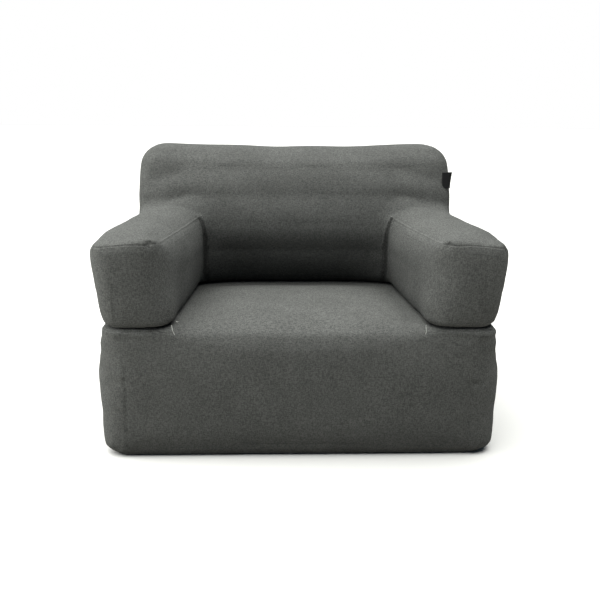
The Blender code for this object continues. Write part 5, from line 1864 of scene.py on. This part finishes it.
def room(settings):
    """White behind the chair as the camera sees it, and a weak cool light from all round."""
    world = bpy.data.worlds.new("room")
    world.use_nodes = True
    tree = world.node_tree
    glow = tree.nodes["Background"]
    seen = add_node(tree, "ShaderNodeLightPath").outputs["Is Camera Ray"]
    tree.links.new(mixed(tree, seen, (*settings.room_light, 1), (1, 1, 1, 1)), glow.inputs["Color"])
    return world


def floor_paint(settings):
    """A pale floor with a faint grain, which throws less light on the chair than it shows."""
    made, tree, shader = shader_tree("floor_paint")
    seen = add_node(tree, "ShaderNodeLightPath").outputs["Is Camera Ray"]
    speck = noise(tree, object_place(tree), FLOOR_NOISE_SCALE)
    grain = mapped(tree, speck, *FLOOR_NOISE_RANGE, *FLOOR_GRAIN_RANGE)
    colour = mixed(tree, seen, (*settings.floor_glow, 1), (*settings.floor_colour, 1))
    tree.links.new(mixed(tree, 1.0, colour, grain, "MULTIPLY"), shader.inputs["Base Color"])
    shader.inputs["Roughness"].default_value = FLOOR_ROUGHNESS
    shader.inputs["Specular IOR Level"].default_value = FLOOR_SPECULAR
    return made


def lamps(settings):
    """A wide light from above and a soft lamp on the left."""
    above = bpy.data.lights.new("overhead", "SUN")
    above.energy = settings.sun_power
    above.angle = settings.sun_angle
    link("overhead", above).rotation_euler = (-settings.sun_back, -settings.sun_tilt, 0)
    soft = bpy.data.lights.new("soft_lamp", "AREA")
    soft.energy = settings.lamp_power
    soft.size = settings.lamp_size
    lamp = link("soft_lamp", soft)
    lamp.location = settings.lamp_place
    middle = Vector((0, 0, CAD_BOX[1][2] / 2))
    lamp.rotation_euler = (middle - lamp.location).to_track_quat("-Z", "Y").to_euler()
    for light in (above, soft):
        light.color = LIGHT_COLOUR


class ARMCHAIR_OT_stage(bpy.types.Operator):
    """Make the floor, the light and the camera"""

    bl_idname = "armchair.stage"
    bl_label = "Stage"

    def execute(self, context):
        settings = context.scene.armchair_stage
        size = settings.floor_size
        corners = ((-size, -size, 0), (size, -size, 0), (size, size, 0), (-size, size, 0))
        floor = link("floor", new_mesh("floor", corners, [(0, 1, 2, 3)]))
        floor.data.materials.append(floor_paint(settings))
        lamps(settings)
        context.scene.world = room(settings)
        context.scene.view_settings.view_transform = "Standard"
        data = bpy.data.cameras.new("camera")
        data.sensor_width = CAMERA_SENSOR
        data.lens = CAMERA_LENS
        camera = link("camera", data)
        camera.matrix_world = camera_matrix()
        context.scene.camera = camera
        return {"FINISHED"}


GROUPS = (
    ("armchair_cushions", CushionSettings),
    ("armchair_cloth", ClothSettings),
    ("armchair_fittings", FittingSettings),
    ("armchair_stage", StageSettings),
)
OPERATORS = (
    ARMCHAIR_OT_finishes,
    ARMCHAIR_OT_base,
    ARMCHAIR_OT_back_and_arms,
    ARMCHAIR_OT_corner_folds,
    ARMCHAIR_OT_side_tab,
    ARMCHAIR_OT_zips,
    ARMCHAIR_OT_valves,
    ARMCHAIR_OT_threads,
    ARMCHAIR_OT_stage,
)


class ARMCHAIR_PT_panel(bpy.types.Panel):
    """Lists the armchair's pieces in the sidebar"""

    bl_label = "Armchair"
    bl_idname = "ARMCHAIR_PT_panel"
    bl_space_type = "VIEW_3D"
    bl_region_type = "UI"
    bl_category = "Armchair"

    def draw(self, context):
        for operator in OPERATORS:
            self.layout.operator(operator.bl_idname)


def register():
    for name, group in GROUPS:
        bpy.utils.register_class(group)
        setattr(bpy.types.Scene, name, PointerProperty(type=group))
    for kind in (*OPERATORS, ARMCHAIR_PT_panel):
        bpy.utils.register_class(kind)


def unregister():
    for kind in (ARMCHAIR_PT_panel, *reversed(OPERATORS)):
        bpy.utils.unregister_class(kind)
    for name, group in reversed(GROUPS):
        delattr(bpy.types.Scene, name)
        bpy.utils.unregister_class(group)


def main():
    register()
    for operator in OPERATORS:
        area, name = operator.bl_idname.split(".")
        getattr(getattr(bpy.ops, area), name)()


if __name__ == "__main__":
    main()
